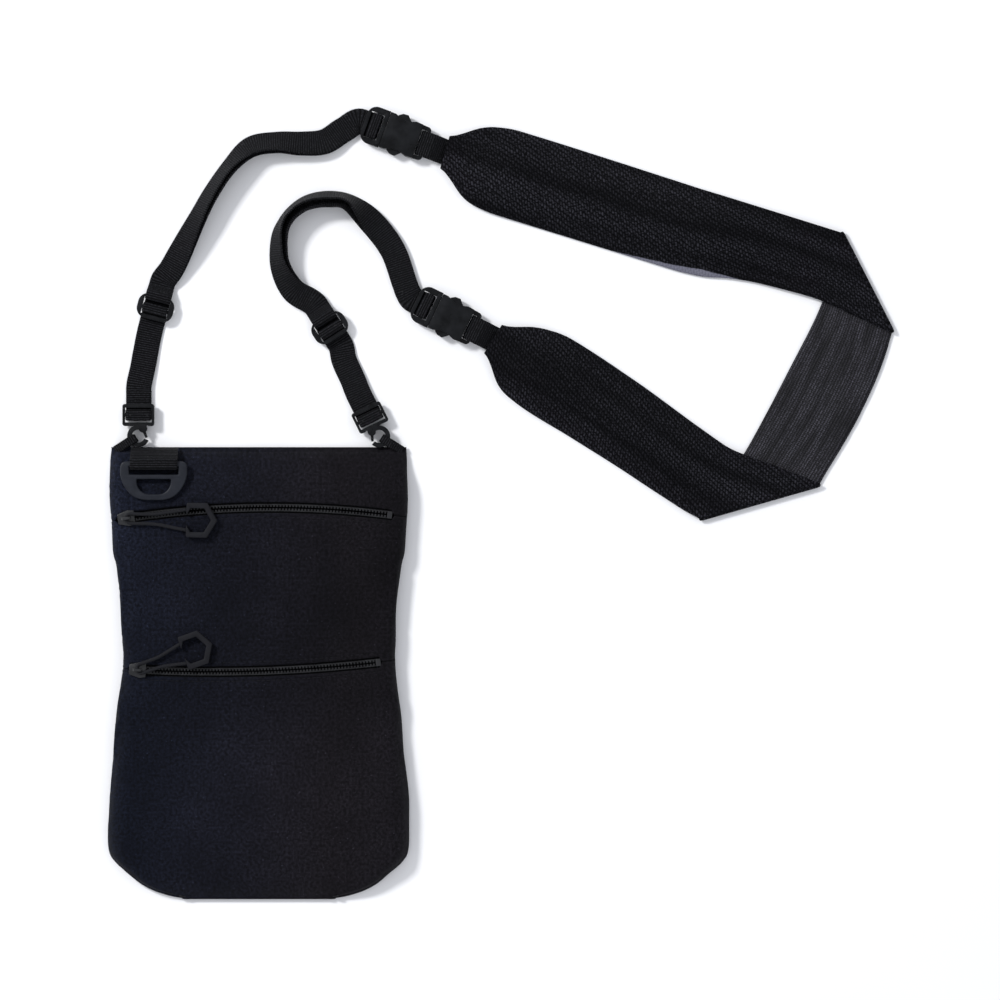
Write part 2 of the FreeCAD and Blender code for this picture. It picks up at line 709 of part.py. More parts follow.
def make_slider_body(tag, zip_line, park):
    """Slider: two plates joined by a post, flanges round the teeth, and a bail on top.

    Its own origin is on the zip's line at the height of the fabric's face.
    """
    item = make_body(tag + "_zip_slider")
    long_half = "sizes.slider_length / 2"
    wide_half = "sizes.slider_width / 2"
    narrow_half = "(sizes.chain_gap / 2 + sizes.tooth_row + sizes.slider_play + sizes.slider_plate / 2)"
    plate = "sizes.slider_plate"
    top_lift = "sizes.slider_clear + sizes.slider_plate / 2"
    widest = "sizes.slider_length * sizes.slider_widest_share"
    mouth_half = wide_half + " * sizes.slider_mouth_share"
    top = [
        ("-" + long_half, "-" + narrow_half),
        (widest, "-" + wide_half),
        (long_half, "-" + mouth_half),
        (long_half, mouth_half),
        (widest, wide_half),
        ("-" + long_half, narrow_half),
    ]
    pad(item, top, plate, top_lift)
    tape_low = "-(sizes.fabric + sizes.tape_drop + sizes.tape_sheet)"
    sole_lift = tape_low + " - sizes.slider_play - sizes.slider_plate / 2"
    post_low = "(sizes.fabric + sizes.tape_drop + sizes.tape_sheet + sizes.slider_play + sizes.slider_plate)"
    post = block("-sizes.slider_length * sizes.post_back_share",
                 "sizes.slider_length * sizes.post_front_share",
                 "-sizes.post_width / 2", "sizes.post_width / 2")
    post_length = post_low + " + sizes.slider_clear + sizes.slider_plate"
    post_lift = "(sizes.slider_clear + sizes.slider_plate - " + post_low + ") / 2"
    pad(item, post, post_length, post_lift)
    sole_half = "sizes.slider_sole / 2"
    sole_reach = "sizes.slider_length * sizes.slider_sole_share"
    sole = block("-" + sole_reach, sole_reach, "-" + sole_half, sole_half)
    pad(item, sole, plate, sole_lift)
    inner = "(sizes.chain_gap / 2 + sizes.tooth_row + sizes.slider_play)"
    outer = "(sizes.slot_width / 2 - sizes.slider_play)"
    flange_low = "(sizes.fabric + sizes.tape_drop - sizes.slider_play)"
    flange_length = flange_low + " + sizes.slider_clear + sizes.slider_plate / 2"
    flange_lift = "(sizes.slider_clear + sizes.slider_plate / 2 - " + flange_low + ") / 2"
    flange_half = "sizes.slider_length * sizes.slider_flange_share"
    for sign in ("", "-"):
        walls = block("-" + flange_half, flange_half, sign + inner, sign + outer)
        pad(item, walls, flange_length, flange_lift)
    foot = "sizes.slider_clear + sizes.slider_plate / 2"
    eye = "(sizes.slider_clear + sizes.slider_plate)"
    crown = "(" + eye + " + sizes.bail_eye_height + sizes.bail_bar)"
    bail_half = "(sizes.bail_eye_length / 2 + sizes.bail_bar)"
    arch = [
        ("-" + bail_half, foot),
        (bail_half, foot),
        (bail_half, crown + " - sizes.bail_bar"),
        (bail_half + " - sizes.bail_bar", crown),
        ("-" + bail_half + " + sizes.bail_bar", crown),
        ("-" + bail_half, crown + " - sizes.bail_bar"),
    ]
    pad(item, arch, "sizes.bail_width", role="XZ_Plane")
    hole = block("-sizes.bail_eye_length / 2", "sizes.bail_eye_length / 2",
                 eye, eye + " + sizes.bail_eye_height")
    pocket(item, hole, "sizes.bail_width + sizes.overrun", role="XZ_Plane")
    along = zip_line.along_at(park - zip_line.half_chord)
    spot = zip_line.at(along)
    turn = math.degrees(zip_line.angle(along))
    place(item, Vector(spot.x, spot.y, front_top), turn)
    return spot, turn


# Share of the shorter run that the arc at a corner takes
BEND_REACH_SHARE = 0.45


def cord_wire(points):
    """Straight runs joined by tangent arcs, as large as the runs allow."""
    edges = []
    radii = []
    last = points[0]
    for before, corner, after in zip(points, points[1:], points[2:]):
        back = before - corner
        ahead = after - corner
        shorter = min(back.Length, ahead.Length)
        back = Vector(back).normalize()
        ahead = Vector(ahead).normalize()
        turn = math.pi - back.getAngle(ahead)
        reach = BEND_REACH_SHARE * shorter
        radius = reach / math.tan(turn / 2)
        radii.append(radius)
        start = corner + back * reach
        end = corner + ahead * reach
        spoke = (back + ahead).normalize()
        centre = corner + spoke * (radius / math.cos(turn / 2))
        edges.append(Part.LineSegment(last, start).toShape())
        edges.append(Part.Arc(start, centre - spoke * radius, end).toShape())
        last = end
    edges.append(Part.LineSegment(last, points[-1]).toShape())
    return Part.Wire(edges), radii


def tube(points, diameter, name):
    """Cord along a route; the radii of its bends are printed."""
    wire, radii = cord_wire(points)
    start = wire.Edges[0]
    along = start.tangentAt(start.FirstParameter)
    ring = Part.Wire([Part.Circle(points[0], along, diameter / 2).toShape()])
    solid = wire.makePipeShell([ring], True, False)
    section = math.pi * diameter**2 / 4
    print(name, "length %.1f" % wire.Length, "radii", ["%.1f" % r for r in radii])
    print(name, "volume share %.4f" % (solid.Volume / (section * wire.Length)))
    return solid


# Route of a pull cord from the upper end of its grip, round the bail and back.
# Shares of the pull's reach along it, of the cord's spread beside it, and of the grip's drop.
PULL_ROUTE_SHARES = [
    (None, 0.5, 1.0),
    (0.66, 0.405, 1.0),
    (0.43, 0.248, 0.583),
    (0.19, 0.223, 0.167),
    (0.0, 0.248, 0.0),
    (0.0, -0.248, 0.0),
    (0.19, -0.231, 0.167),
    (0.43, -0.24, 0.583),
    (0.66, -0.397, 1.0),
    (None, -0.5, 1.0),
]


def make_grip(name):
    """Flat hexagonal grip, open on the side of the cord."""
    item = make_body(name)
    inner = "(sizes.grip_radius - sizes.grip_bar / cos(30 deg))"
    rings = []
    for radius in ("sizes.grip_radius", inner):
        ring = []
        for step in range(6):
            across = "%s * cos(%d deg)" % (radius, step * 60)
            along = "%s * sin(%d deg)" % (radius, step * 60) if step % 3 else "0"
            ring.append((across, along))
        rings.append(ring)
    pad(item, rings[0], "sizes.grip_sheet")
    pocket(item, rings[1], "sizes.grip_sheet + sizes.overrun")
    mouth = block("-sizes.grip_radius - sizes.overrun", "-sizes.grip_mouth",
                  "-sizes.grip_radius", "sizes.grip_radius")
    pocket(item, mouth, "sizes.grip_sheet + sizes.overrun")
    limit = value(inner) + mm("grip_bar") / 2
    round_edges(item, lambda e: upright(e) and e.CenterOfMass.Length > limit, "sizes.grip_round")
    return item


def make_pull(tag, spot, turn, reach, pull_turn):
    """Cord and grip that hang on a slider's bail."""
    up = mm("slider_clear") + mm("slider_plate") + mm("bail_eye_height") / 2
    origin = Vector(spot.x, spot.y, front_top + up)
    grip_low = -up + mm("slider_clear") + mm("grip_sheet") / 2
    direction = turn + pull_turn
    grip = make_grip(tag + "_pull_grip")
    place(grip, origin + heading(direction) * reach + UP * grip_low, direction)
    points = []
    for along_share, beside_share, drop_share in PULL_ROUTE_SHARES:
        along = reach - mm("grip_mouth") if along_share is None else reach * along_share
        local = Vector(along, mm("pull_spread") * beside_share, grip_low * drop_share)
        points.append(Rotation(UP, direction).multVec(local) + origin)
    cord = tube(points, mm("pull_cord"), tag + "_pull_cord")
    soft_piece(tag + "_pull_cord", cord.cut(grip.Shape))


# D-ring on its tab


def ring_hinge():
    """Middle of the D-ring's hinge bar, and how far the ring tips up towards its bow."""
    bar_y = top_edge - mm("ring_drop")
    loop = mm("ring_sheet") / 2 + mm("ring_play")
    low_y = bar_y - loop - mm("tab_sheet")
    bar_z = front_surface(low_y) + mm("web_gap") + mm("tab_sheet") + loop
    reach = mm("ring_reach") - mm("ring_bar") / 2
    bow_z = front_surface(bar_y - reach) + mm("slider_clear") + mm("ring_sheet") / 2
    tip = math.degrees(math.asin((bow_z - bar_z) / reach))
    return Vector(mm("tab_in") - mm("pouch_width") / 2, bar_y, bar_z), tip


def make_d_ring():
    """Flat D-ring: hinge bar, slot, cross bar and bow. Its own origin is on the hinge bar."""
    item = make_body("d_ring")
    half = "sizes.ring_width / 2"
    top = "sizes.ring_bar / 2"
    bottom = "(sizes.ring_bar / 2 - sizes.ring_reach)"
    straight = " + sizes.ring_reach * sizes.ring_straight_share"
    flat = " * sizes.ring_bow_share"
    outline = [
        ("-" + half + " + sizes.ring_bar", top),
        (half + " - sizes.ring_bar", top),
        (half, top + " - sizes.ring_bar"),
        (half, bottom + straight),
        (half + flat, bottom),
        ("-" + half + flat, bottom),
        ("-" + half, bottom + straight),
        ("-" + half, top + " - sizes.ring_bar"),
    ]
    pad(item, outline, "sizes.ring_sheet")
    slot_half = "(sizes.ring_width / 2 - sizes.ring_side)"
    slot_low = "(-sizes.ring_bar / 2 - sizes.ring_slot)"
    deep = "sizes.ring_sheet + sizes.overrun"
    slot = block("-" + slot_half, slot_half, slot_low, "-sizes.ring_bar / 2")
    eye_top = slot_low + " - sizes.ring_bar"
    eye_low = bottom + " + sizes.ring_rim"
    eye_half = "sizes.ring_eye_half"
    eye_turn = eye_half + " * sizes.ring_eye_share"
    eye_rise = eye_low + " + sizes.ring_rim * sizes.ring_turn_share"
    eye = [
        ("-" + eye_half, eye_top),
        ("-" + eye_turn, eye_rise),
        ("-" + eye_half + flat, eye_low),
        (eye_half + flat, eye_low),
        (eye_turn, eye_rise),
        (eye_half, eye_top),
    ]
    limit = -mm("ring_reach") / 3
    round_edges(item, lambda e: upright(e) and e.CenterOfMass.y < limit, "sizes.ring_round")
    pocket(item, slot, deep)
    pocket(item, eye, deep)
    pad_circle(item, "0", "0", "sizes.hinge_radius", "2 * " + slot_half, role="YZ_Plane")
    hinge, tip = ring_hinge()
    place(item, hinge, 0.0, -tip)


def make_ring_tab():
    """Wide webbing sewn to the pouch's top edge and folded round the D-ring's hinge bar."""
    hinge, _ = ring_hinge()
    away = mm("ring_sheet") / 2 + mm("ring_play") + mm("tab_sheet") / 2
    edge = top_edge - mm("tab_sheet") / 2
    edge_z = front_surface(edge)
    sewn = hinge.y + mm("ring_drop") / 2
    profile = [
        (edge, edge_z - mm("tab_sheet") * 2),
        (edge, edge_z + mm("tab_sheet") * 2),
        (hinge.y + mm("ring_bar"), hinge.z + away),
        (hinge.y - away, hinge.z + away),
        (hinge.y - away, hinge.z - away),
        (sewn, front_surface(sewn)),
    ]
    band = folded_band(profile, mm("tab_bend"), mm("tab_sheet"), mm("tab_width"))
    band.rotate(Vector(0, 0, 0), UP, 90)
    band.translate(Vector(hinge.x, 0, 0))
    soft_piece("d_ring_tab", band.cut(shell_form(0.0)))


# Heights of the webbing layers at every fitting
layer_one = mm("floor_gap") + mm("web_sheet") / 2
layer_two = layer_one + mm("web_sheet") + mm("web_gap")
layers_top = layer_two + mm("web_sheet") / 2 + mm("web_gap")
frame_level = layers_top + mm("frame_sheet") / 2
oval_level = layers_top + mm("oval_sheet") / 2
buckle_level = layers_top + mm("plug_sheet") / 2


def over(level, sheet_size):
    """Height of a layer that lies over a bar."""
    return level + sheet_size / 2 + mm("web_gap") + mm("web_sheet") / 2


# Snap hooks

hook_centre = -(mm("frame_length") / 2 + mm("hook_radius") - mm("hook_sink"))


def on_hook_ring(degrees):
    """Place on the middle of the hook's ring bar, in the hook's own plane."""
    return Vector(hook_centre, 0, 0) + heading(degrees) * (mm("hook_radius") - mm("hook_bar") / 2)


def make_hook(tag, spot, turn, side):
    """Snap hook: ladder frame, ring open on one side, and the lug for its gate.

    Its own X axis points along the webbing, away from the pouch.
    The side tells a hook from its mirror image.
    """
    item = make_body(tag + "_hook")
    half_long = "sizes.frame_length / 2"
    half_wide = "(sizes.web_width / 2 + sizes.web_play + sizes.frame_side)"
    slot_half = "(sizes.web_width / 2 + sizes.web_play)"
    centre = "(-sizes.frame_length / 2 - sizes.hook_radius + sizes.hook_sink)"
    pad(item, block("-" + half_long, half_long, "-" + half_wide, half_wide), "sizes.frame_sheet")
    round_edges(item, upright, "sizes.frame_side")
    pad_circle(item, centre, "0", "sizes.hook_radius", "sizes.hook_sheet")
    deep = "sizes.hook_sheet + sizes.overrun"
    pocket_circle(item, centre, "0", "sizes.hook_radius - sizes.hook_bar", deep)
    middle = "sizes.frame_bar / 2"
    outer = "(sizes.frame_length / 2 - sizes.frame_bar)"
    pocket(item, block(middle, outer, "-" + slot_half, slot_half), deep)
    pocket(item, block("-" + outer, "-" + middle, "-" + slot_half, slot_half), deep)
    mouth = [(centre, "0")]
    pin_turn = side * mm("gate_pin_turn")
    tip_turn = side * mm("gate_tip_turn")
    spare = side * mm("gate_mouth_spare")
    reach = "sizes.hook_radius * sizes.mouth_reach_share"
    for degrees in (pin_turn - spare, (pin_turn + tip_turn) / 2, tip_turn - spare):
        across = "%s + %s * cos(%f deg)" % (centre, reach, degrees)
        mouth.append((across, "%s * sin(%f deg)" % (reach, degrees)))
    pocket(item, mouth, deep)
    bar = "(sizes.hook_radius - sizes.hook_bar / 2)"
    pin_x = "%s + %s * cos(%f deg)" % (centre, bar, pin_turn)
    pin_y = "%s * sin(%f deg)" % (bar, pin_turn)
    pad_circle(item, pin_x, pin_y, "sizes.lug_radius", "sizes.hook_sheet")
    slit = "sizes.gate_sheet + 2 * sizes.gate_play"
    pocket_circle(item, pin_x, pin_y, "sizes.lug_radius + sizes.gate_play", slit)
    pad_circle(item, pin_x, pin_y, "sizes.pin_radius", "sizes.hook_sheet")
    place(item, spot, turn)


def gate_pin(spot, turn, side):
    return spot + Rotation(UP, turn).multVec(on_hook_ring(side * mm("gate_pin_turn")))


def make_gate(tag, spot, turn, side):
    """Gate that closes the hook: a knuckle on the pin and a straight tongue."""
    item = make_body(tag + "_hook_gate")
    half = "sizes.gate_bar / 2"
    tongue = [
        ("0", "-" + half),
        ("sizes.gate_length", "-" + half + " * sizes.gate_tip_share"),
        ("sizes.gate_length", half + " * sizes.gate_tip_share"),
        ("0", half),
    ]
    pad(item, tongue, "sizes.gate_sheet")
    pad_circle(item, "0", "0", "sizes.gate_knuckle", "sizes.gate_sheet")
    deep = "sizes.gate_sheet + sizes.overrun"
    pocket_circle(item, "0", "0", "sizes.pin_radius + sizes.pin_play", deep)
    run = on_hook_ring(side * mm("gate_tip_turn")) - on_hook_ring(side * mm("gate_pin_turn"))
    place(item, gate_pin(spot, turn, side), turn + math.degrees(math.atan2(run.y, run.x)))


def make_corner_loop(tag, spot, turn, loop_turn, shell):
    """Short loop from the pouch's top corner round the hook's ring."""
    centre = spot + Rotation(UP, turn).multVec(Vector(hook_centre, 0, 0))
    eye = mm("hook_radius") - mm("hook_bar") - mm("loop_play")
    sheet_half = mm("loop_sheet") / 2
    near = math.sqrt(eye**2 - (mm("loop_width") / 2) ** 2) - sheet_half
    rise = mm("hook_sheet") / 2 + mm("loop_play") + sheet_half
    outside = mm("hook_radius") + mm("loop_play") + mm("hook_bar") / 2
    seam = mm("fabric") * 3 - spot.z
    profile = [
        (mm("loop_reach"), seam + sheet_half),
        (outside, rise),
        (near, rise),
        (near, -rise),
        (outside, -rise),
        (mm("loop_reach"), seam - sheet_half),
    ]
    band = folded_band(profile, sheet_half + mm("web_gap"), mm("loop_sheet"), mm("loop_width"))
    soft_piece(tag + "_corner_loop", set_down(band, centre, loop_turn).cut(shell))


# Oval slider of the strap


def make_oval(tag, spot, turn):
    """Oval slider with two slots. Its own X axis points towards the buckle."""
    item = make_body(tag + "_strap_slider")
    half_long = "sizes.oval_length / 2"
    half_wide = "sizes.oval_width / 2"
    pad(item, block("-" + half_long, half_long, "-" + half_wide, half_wide), "sizes.oval_sheet")
    round_edges(item, upright, "sizes.oval_round")
    slot_half = "(sizes.web_width / 2 + sizes.web_play)"
    deep = "sizes.oval_sheet + sizes.overrun"
    first = "(-sizes.oval_length / 2 + sizes.oval_bar)"
    second = "(-sizes.oval_length / 2 + 2 * sizes.oval_bar + sizes.oval_first_slot)"
    last = "(sizes.oval_length / 2 - sizes.oval_bar)"
    pocket(item, block(first, first + " + sizes.oval_first_slot", "-" + slot_half, slot_half), deep)
    pocket(item, block(second, last, "-" + slot_half, slot_half), deep)
    place(item, spot, turn)


# Side-release buckles


def make_socket(tag, spot, turn):
    """Socket with side windows and a tail bar. Its own X axis points towards the plug."""
    item = make_body(tag + "_buckle_socket")
    wide = "sizes.buckle_width / 2"
    tail = "sizes.tail_width / 2"
    rim = "-sizes.mouth_rim"
    back = "(-sizes.mouth_rim - sizes.window_length)"
    bite = "(sizes.buckle_width / 2 - sizes.window_bite)"
    waist_back = "sizes.window_length * sizes.waist_back_share"
    left = [
        ("-sizes.socket_length", tail),
        (back + " - " + waist_back, wide + " * sizes.socket_back_share"),
        (back + " + " + waist_back, bite),
        (rim + " - sizes.window_length * sizes.waist_front_share", bite),
        (rim + " * sizes.rim_share", wide),
        ("0", wide),
    ]
    right = [(x, "-" + y) for x, y in reversed(left)]
    pad(item, right + left, "sizes.socket_depth")
    limit = mm("tail_bar") - mm("socket_length")
    round_edges(item, lambda e: upright(e) and e.CenterOfMass.x < limit, "sizes.tail_bar")
    cavity_half = "(sizes.buckle_width / 2 - sizes.socket_wall)"
    cavity = block("-sizes.cavity_length", "sizes.overrun", "-" + cavity_half, cavity_half)
    pocket(item, cavity, "sizes.cavity_height")
    windows = block(back, rim, "-sizes.buckle_width", "sizes.buckle_width")
    pocket(item, windows, "sizes.cavity_height")
    slot_half = "(sizes.web_width / 2 + sizes.web_play)"
    slot_far = "(-sizes.socket_length + sizes.tail_bar)"
    slot = block(slot_far, slot_far + " + sizes.tail_slot", "-" + slot_half, slot_half)
    pocket(item, slot, "sizes.socket_depth + sizes.overrun")
    thin = "(sizes.socket_depth - sizes.plug_sheet)"
    relief_x = slot_far + " + sizes.tail_slot"
    for sign in ("", "-"):
        relief = block("-sizes.socket_length - sizes.overrun", relief_x,
                       "-sizes.buckle_width", "sizes.buckle_width")
        pocket(item, relief, thin, sign + "sizes.socket_depth / 2")
    place(item, spot, turn)


def make_plug(tag, spot, turn):
    """Plug: webbing loop, shoulder, root with two sockets for the prongs, and guide tongue."""
    item = make_body(tag + "_buckle_plug")
    far = "sizes.plug_loop"
    half = "sizes.plug_width / 2"
    start = "sizes.shoulder_gap"
    pad(item, block(start, far, "-" + half, half), "sizes.plug_sheet")
    limit = mm("plug_loop") / 2
    round_edges(item, lambda e: upright(e) and e.CenterOfMass.x > limit, "sizes.plug_round")
    slot_half = "(sizes.web_width / 2 + sizes.web_play)"
    shoulder_end = "(sizes.shoulder_gap + sizes.shoulder_length)"
    bar = "(" + shoulder_end + " + sizes.plug_slot)"
    deep = "sizes.plug_sheet + sizes.overrun"
    pocket(item, block(shoulder_end, bar, "-" + slot_half, slot_half), deep)
    eye_start = bar + " + sizes.plug_bar"
    eye_end = "(sizes.plug_loop - sizes.plug_rim)"
    pocket(item, block(eye_start, eye_end, "-" + slot_half, slot_half), deep)
    shoulder = "sizes.shoulder_width / 2"
    pad(item, block(start, shoulder_end, "-" + shoulder, shoulder), "sizes.shoulder_depth")
    neck = "sizes.neck_width / 2"
    root = "-sizes.neck_length"
    pad(item, block(root, shoulder_end, "-" + neck, neck), "sizes.neck_depth")
    tongue = "sizes.tongue_width / 2"
    pad(item, block("-sizes.tongue_length", start, "-" + tongue, tongue), "sizes.tongue_depth")
    seat = "sizes.prong_root + sizes.prong_play"
    room = "sizes.prong_depth + 2 * sizes.prong_play"
    inner_room = "sizes.prong_root * sizes.seat_inner_share + sizes.prong_play"
    outer_room = "sizes.prong_root * sizes.seat_outer_share + sizes.prong_play"
    inner = "(sizes.prong_offset - (" + inner_room + "))"
    outer = "(sizes.prong_offset + " + outer_room + ")"
    for sign in ("", "-"):
        pocket_circle(item, "sizes.prong_set", sign + "sizes.prong_offset", seat, room)
        cut = block(root + " - sizes.overrun", "sizes.prong_set", sign + inner, sign + outer)
        pocket(item, cut, room)
    place(item, spot, turn)


def prong_root(spot, turn, side):
    return spot + Rotation(UP, turn).multVec(Vector(mm("prong_set"), side * mm("prong_offset"), 0))


def make_prong(tag, name, spot, turn, side):
    """Sprung prong: a round root, an arm, a pad in the socket's window and the catch behind its rim.

    Its own origin is the middle of its root; its own X axis points away from the socket.
    """
    item = make_body("%s_buckle_%s_prong" % (tag, name))
    sign = "" if side > 0 else "-"
    deep = "sizes.prong_depth"
    reach = "(sizes.prong_length + sizes.prong_set)"
    rim = "(sizes.mouth_rim + sizes.prong_set)"
    back = "(sizes.mouth_rim + sizes.window_length + sizes.prong_set)"
    face = "(sizes.buckle_width / 2 - sizes.prong_offset)"
    wall = "(sizes.buckle_width / 2 - sizes.socket_wall - sizes.prong_offset)"
    root = "sizes.prong_root"
    gap = "sizes.prong_play"
    shape = [
        ("0", "-" + root),
        ("-" + rim, "-" + root + " * sizes.arm_inner_share"),
        ("-" + reach, root + " * sizes.arm_tip_share"),
        ("-" + reach, wall + " - 4 * " + gap),
        ("-" + back + " + 2 * " + gap, wall + " - " + gap),
        ("-" + back + " + sizes.window_length * sizes.pad_back_share", face + " + sizes.pad_proud"),
        ("-" + rim + " - sizes.window_length * sizes.pad_front_share",
         face + " + sizes.pad_proud * sizes.pad_front_proud_share"),
        ("-" + rim + " - " + gap, wall + " + sizes.catch_depth"),
        ("-" + rim + " - " + gap, root + " * sizes.arm_outer_share"),
        ("0", root),
    ]
    corners = [(x, sign + "(" + y + ")") for x, y in shape]
    pad(item, corners, deep)
    pad_circle(item, "0", "0", root, deep)
    place(item, prong_root(spot, turn, side), turn)


# Wide strap

STRAP_SPANS = 6
# Each row: place along the stretch from its free end, arch, rise to the fold's upper layer.
STRETCH_SHARES = [
    (-0.05, 0.25, 0.0),
    (0.06, 0.45, 0.0),
    (0.14, 0.8, 0.0),
    (0.30, 1.0, 0.0),
    (0.50, 1.0, 0.0),
    (0.66, 0.75, 0.1),
    (0.78, 0.3, 0.6),
    (0.86, 0.0, 1.0),
    (1.2, 0.0, 1.0),
]
end_lift = mm("end_tab_sheet") * 2 + mm("web_gap") * 2
upper_layer = mm("floor_gap") + mm("strap_sheet") + 2 * mm("strap_fold")


def arched_stretch(length):
    """A laid stretch of the wide strap along X, arched across its width."""
    half = mm("strap_width") / 2
    sections = []
    for along_share, bow_share, rise_share in STRETCH_SHARES:
        x = along_share * length
        bow = mm("strap_bow") * bow_share
        sewn = max(0.0, 1 - max(x, 0.0) / mm("strap_settle"))
        low = mm("floor_gap") + max(end_lift * sewn, (upper_layer - mm("floor_gap")) * rise_share)
        under = []
        top = []
        for step in range(STRAP_SPANS + 1):
            across = -1 + 2 * step / STRAP_SPANS
            z = low + bow * (1 - across**2)
            under.append(Vector(x, half * across, z))
            top.append(Vector(x, half * across, z + mm("strap_sheet")))
        ring = under + top[::-1]
        sections.append(Part.makePolygon(ring + [ring[0]]))
    return Part.makeLoft(sections, True, True)


def fold_line(first_turn, second_turn):
    """Direction of the crease where the strap turns from one heading to another."""
    return (heading(first_turn) + heading(second_turn)).normalize()


def meet(origin, direction, corner, crease):
    """Where a line along the strap's edge meets the crease."""
    offset = corner - origin
    cross = direction.x * crease.y - direction.y * crease.x
    return origin + direction * ((offset.x * crease.y - offset.y * crease.x) / cross)


def edge_points(corner, crease, direction):
    """The crease's two ends on the edges of a stretch: left edge, right edge."""
    side = leftwards(direction) * (mm("strap_width") / 2)
    return meet(corner + side, direction, corner, crease), meet(corner - side, direction, corner, crease)


def crease_wrap(ends, away, low_layer):
    """Half tube of webbing round a crease, on the side away from both stretches."""
    inner = mm("strap_fold")
    outer = inner + mm("strap_sheet")
    middle = low_layer + mm("strap_sheet") + inner
    start, end = ends
    base = Vector(start.x, start.y, middle)
    edges = [
        Part.Arc(base - UP * inner, base + away * inner, base + UP * inner).toShape(),
        Part.LineSegment(base + UP * inner, base + UP * outer).toShape(),
        Part.Arc(base + UP * outer, base + away * outer, base - UP * outer).toShape(),
        Part.LineSegment(base - UP * outer, base - UP * inner).toShape(),
    ]
    return Part.Face(Part.Wire(edges)).extrude(end - start)


right_side = mm("pouch_width") / 2
strap_start = Vector(
    right_side + mm("strap_start_beyond"), top_edge + mm("strap_start_above"), 0
)
first_corner = strap_start + heading(mm("first_turn")) * mm("first_length")
second_corner = first_corner + heading(mm("second_turn")) * mm("second_length")
strap_end = second_corner + heading(mm("third_turn")) * mm("third_length")


def taper_plan(origin, direction, crease_ends):
    """Plan of a stretch with a tapered free end, up to the crease."""
    side = leftwards(direction)
    narrow = mm("taper_width") / 2
    wide = mm("strap_width") / 2 + mm("overrun")
    back = origin - direction * mm("strap_overlap")
    shoulder = origin + direction * mm("taper_length")
    left_end, right_end = crease_ends
    past = (left_end - right_end).normalize() * (mm("overrun") + mm("strap_fold"))
    return [
        back + side * narrow,
        shoulder + side * (mm("strap_width") / 2),
        shoulder + side * wide,
        left_end + past,
        right_end - past,
        shoulder - side * wide,
        shoulder - side * (mm("strap_width") / 2),
        back - side * narrow,
    ]


def make_wide_strap():
    """One length of wide webbing, folded flat on itself twice."""
    thick = mm("strap_sheet")
    tall = mm("strap_bow") + upper_layer + thick * 2
    creases = (
        fold_line(mm("first_turn"), mm("second_turn")),
        fold_line(mm("second_turn"), mm("third_turn")),
    )
    pieces = []
    ends = []
    for origin, corner, crease, turn, length in (
        (strap_start, first_corner, creases[0], mm("first_turn"), mm("first_length")),
        (strap_end, second_corner, creases[1], mm("third_turn") + 180, mm("third_length")),
    ):
        direction = heading(turn)
        crease_ends = edge_points(corner, crease, direction)
        band = set_down(arched_stretch(length), origin, turn)
        plan = polygon_prism(taper_plan(origin, direction, crease_ends), 0, tall)
        pieces.append(band.common(plan))
        outward = leftwards((crease_ends[0] - crease_ends[1]).normalize())
        if outward.dot(direction) < 0:
            outward = outward * -1
        pieces.append(crease_wrap(crease_ends, outward, mm("floor_gap")))
        ends.append(crease_ends)
    low = mm("floor_gap")
    middle_plan = [ends[0][0], ends[0][1], ends[1][1], ends[1][0]]
    along = heading(mm("second_turn"))
    side = leftwards(along)
    middle_plan.sort(key=lambda p: (p - first_corner).dot(side))
    right_edge = sorted(middle_plan[:2], key=lambda p: (p - first_corner).dot(along))
    left_edge = sorted(middle_plan[2:], key=lambda p: -(p - first_corner).dot(along))
    pieces.append(polygon_prism(right_edge + left_edge, low, low + thick))
    whole = pieces[0].multiFuse(pieces[1:]).removeSplitter()
    soft_piece("wide_strap", whole)


def make_end_tab(tag, spot, turn):
    """Narrow webbing folded round the socket's tail bar, sewn under the wide strap's end.

    The spot is the bar's middle; the turn points from the bar to the plug.
    """
    thick = mm("end_tab_sheet")
    level = buckle_level - mm("floor_gap")
    away = mm("plug_sheet") / 2 + mm("web_gap") + thick / 2
    reach = mm("end_tab_free") + mm("end_tab_sewn")
    front = mm("tail_bar") / 2 + mm("web_gap") + thick / 2
    low = -level + thick / 2
    high = low + thick + mm("web_gap") / 2
    profile = [
        (-reach, high),
        (-mm("end_tab_free"), high),
        (-front - mm("tail_bar"), away),
        (front, away),
        (front, -away),
        (-front, -away),
        (-mm("end_tab_slope"), low),
        (-reach, low),
    ]
    band = folded_band(profile, mm("end_tab_bend"), thick, mm("web_width"))
    soft_piece(tag + "_end_tab", set_down(band, spot, turn))


# Where everything stands

left_hook_spot = Vector(
    mm("left_hook_in") - right_side, top_edge + mm("left_hook_above"), frame_level
)
right_hook_spot = Vector(
    right_side - mm("right_hook_in"), top_edge + mm("right_hook_above"), frame_level
)


def buckle_spot(strap_place, strap_turn, buckle_turn):
    """Mouth of a socket whose tail bar is tied to an end of the wide strap."""
    outwards = heading(buckle_turn)
    tail = mm("socket_length") - mm("tail_bar") / 2
    start = strap_place - heading(strap_turn) * mm("strap_overlap")
    bar = start + outwards * mm("end_tab_free")
    return Vector(bar.x, bar.y, buckle_level) + outwards * tail


left_buckle_turn = mm("upper_buckle_turn") + 180
right_buckle_turn = mm("lower_buckle_turn") + 180
left_mouth = buckle_spot(strap_start, mm("first_turn"), left_buckle_turn)
right_mouth = buckle_spot(strap_end, mm("third_turn") + 180, right_buckle_turn)

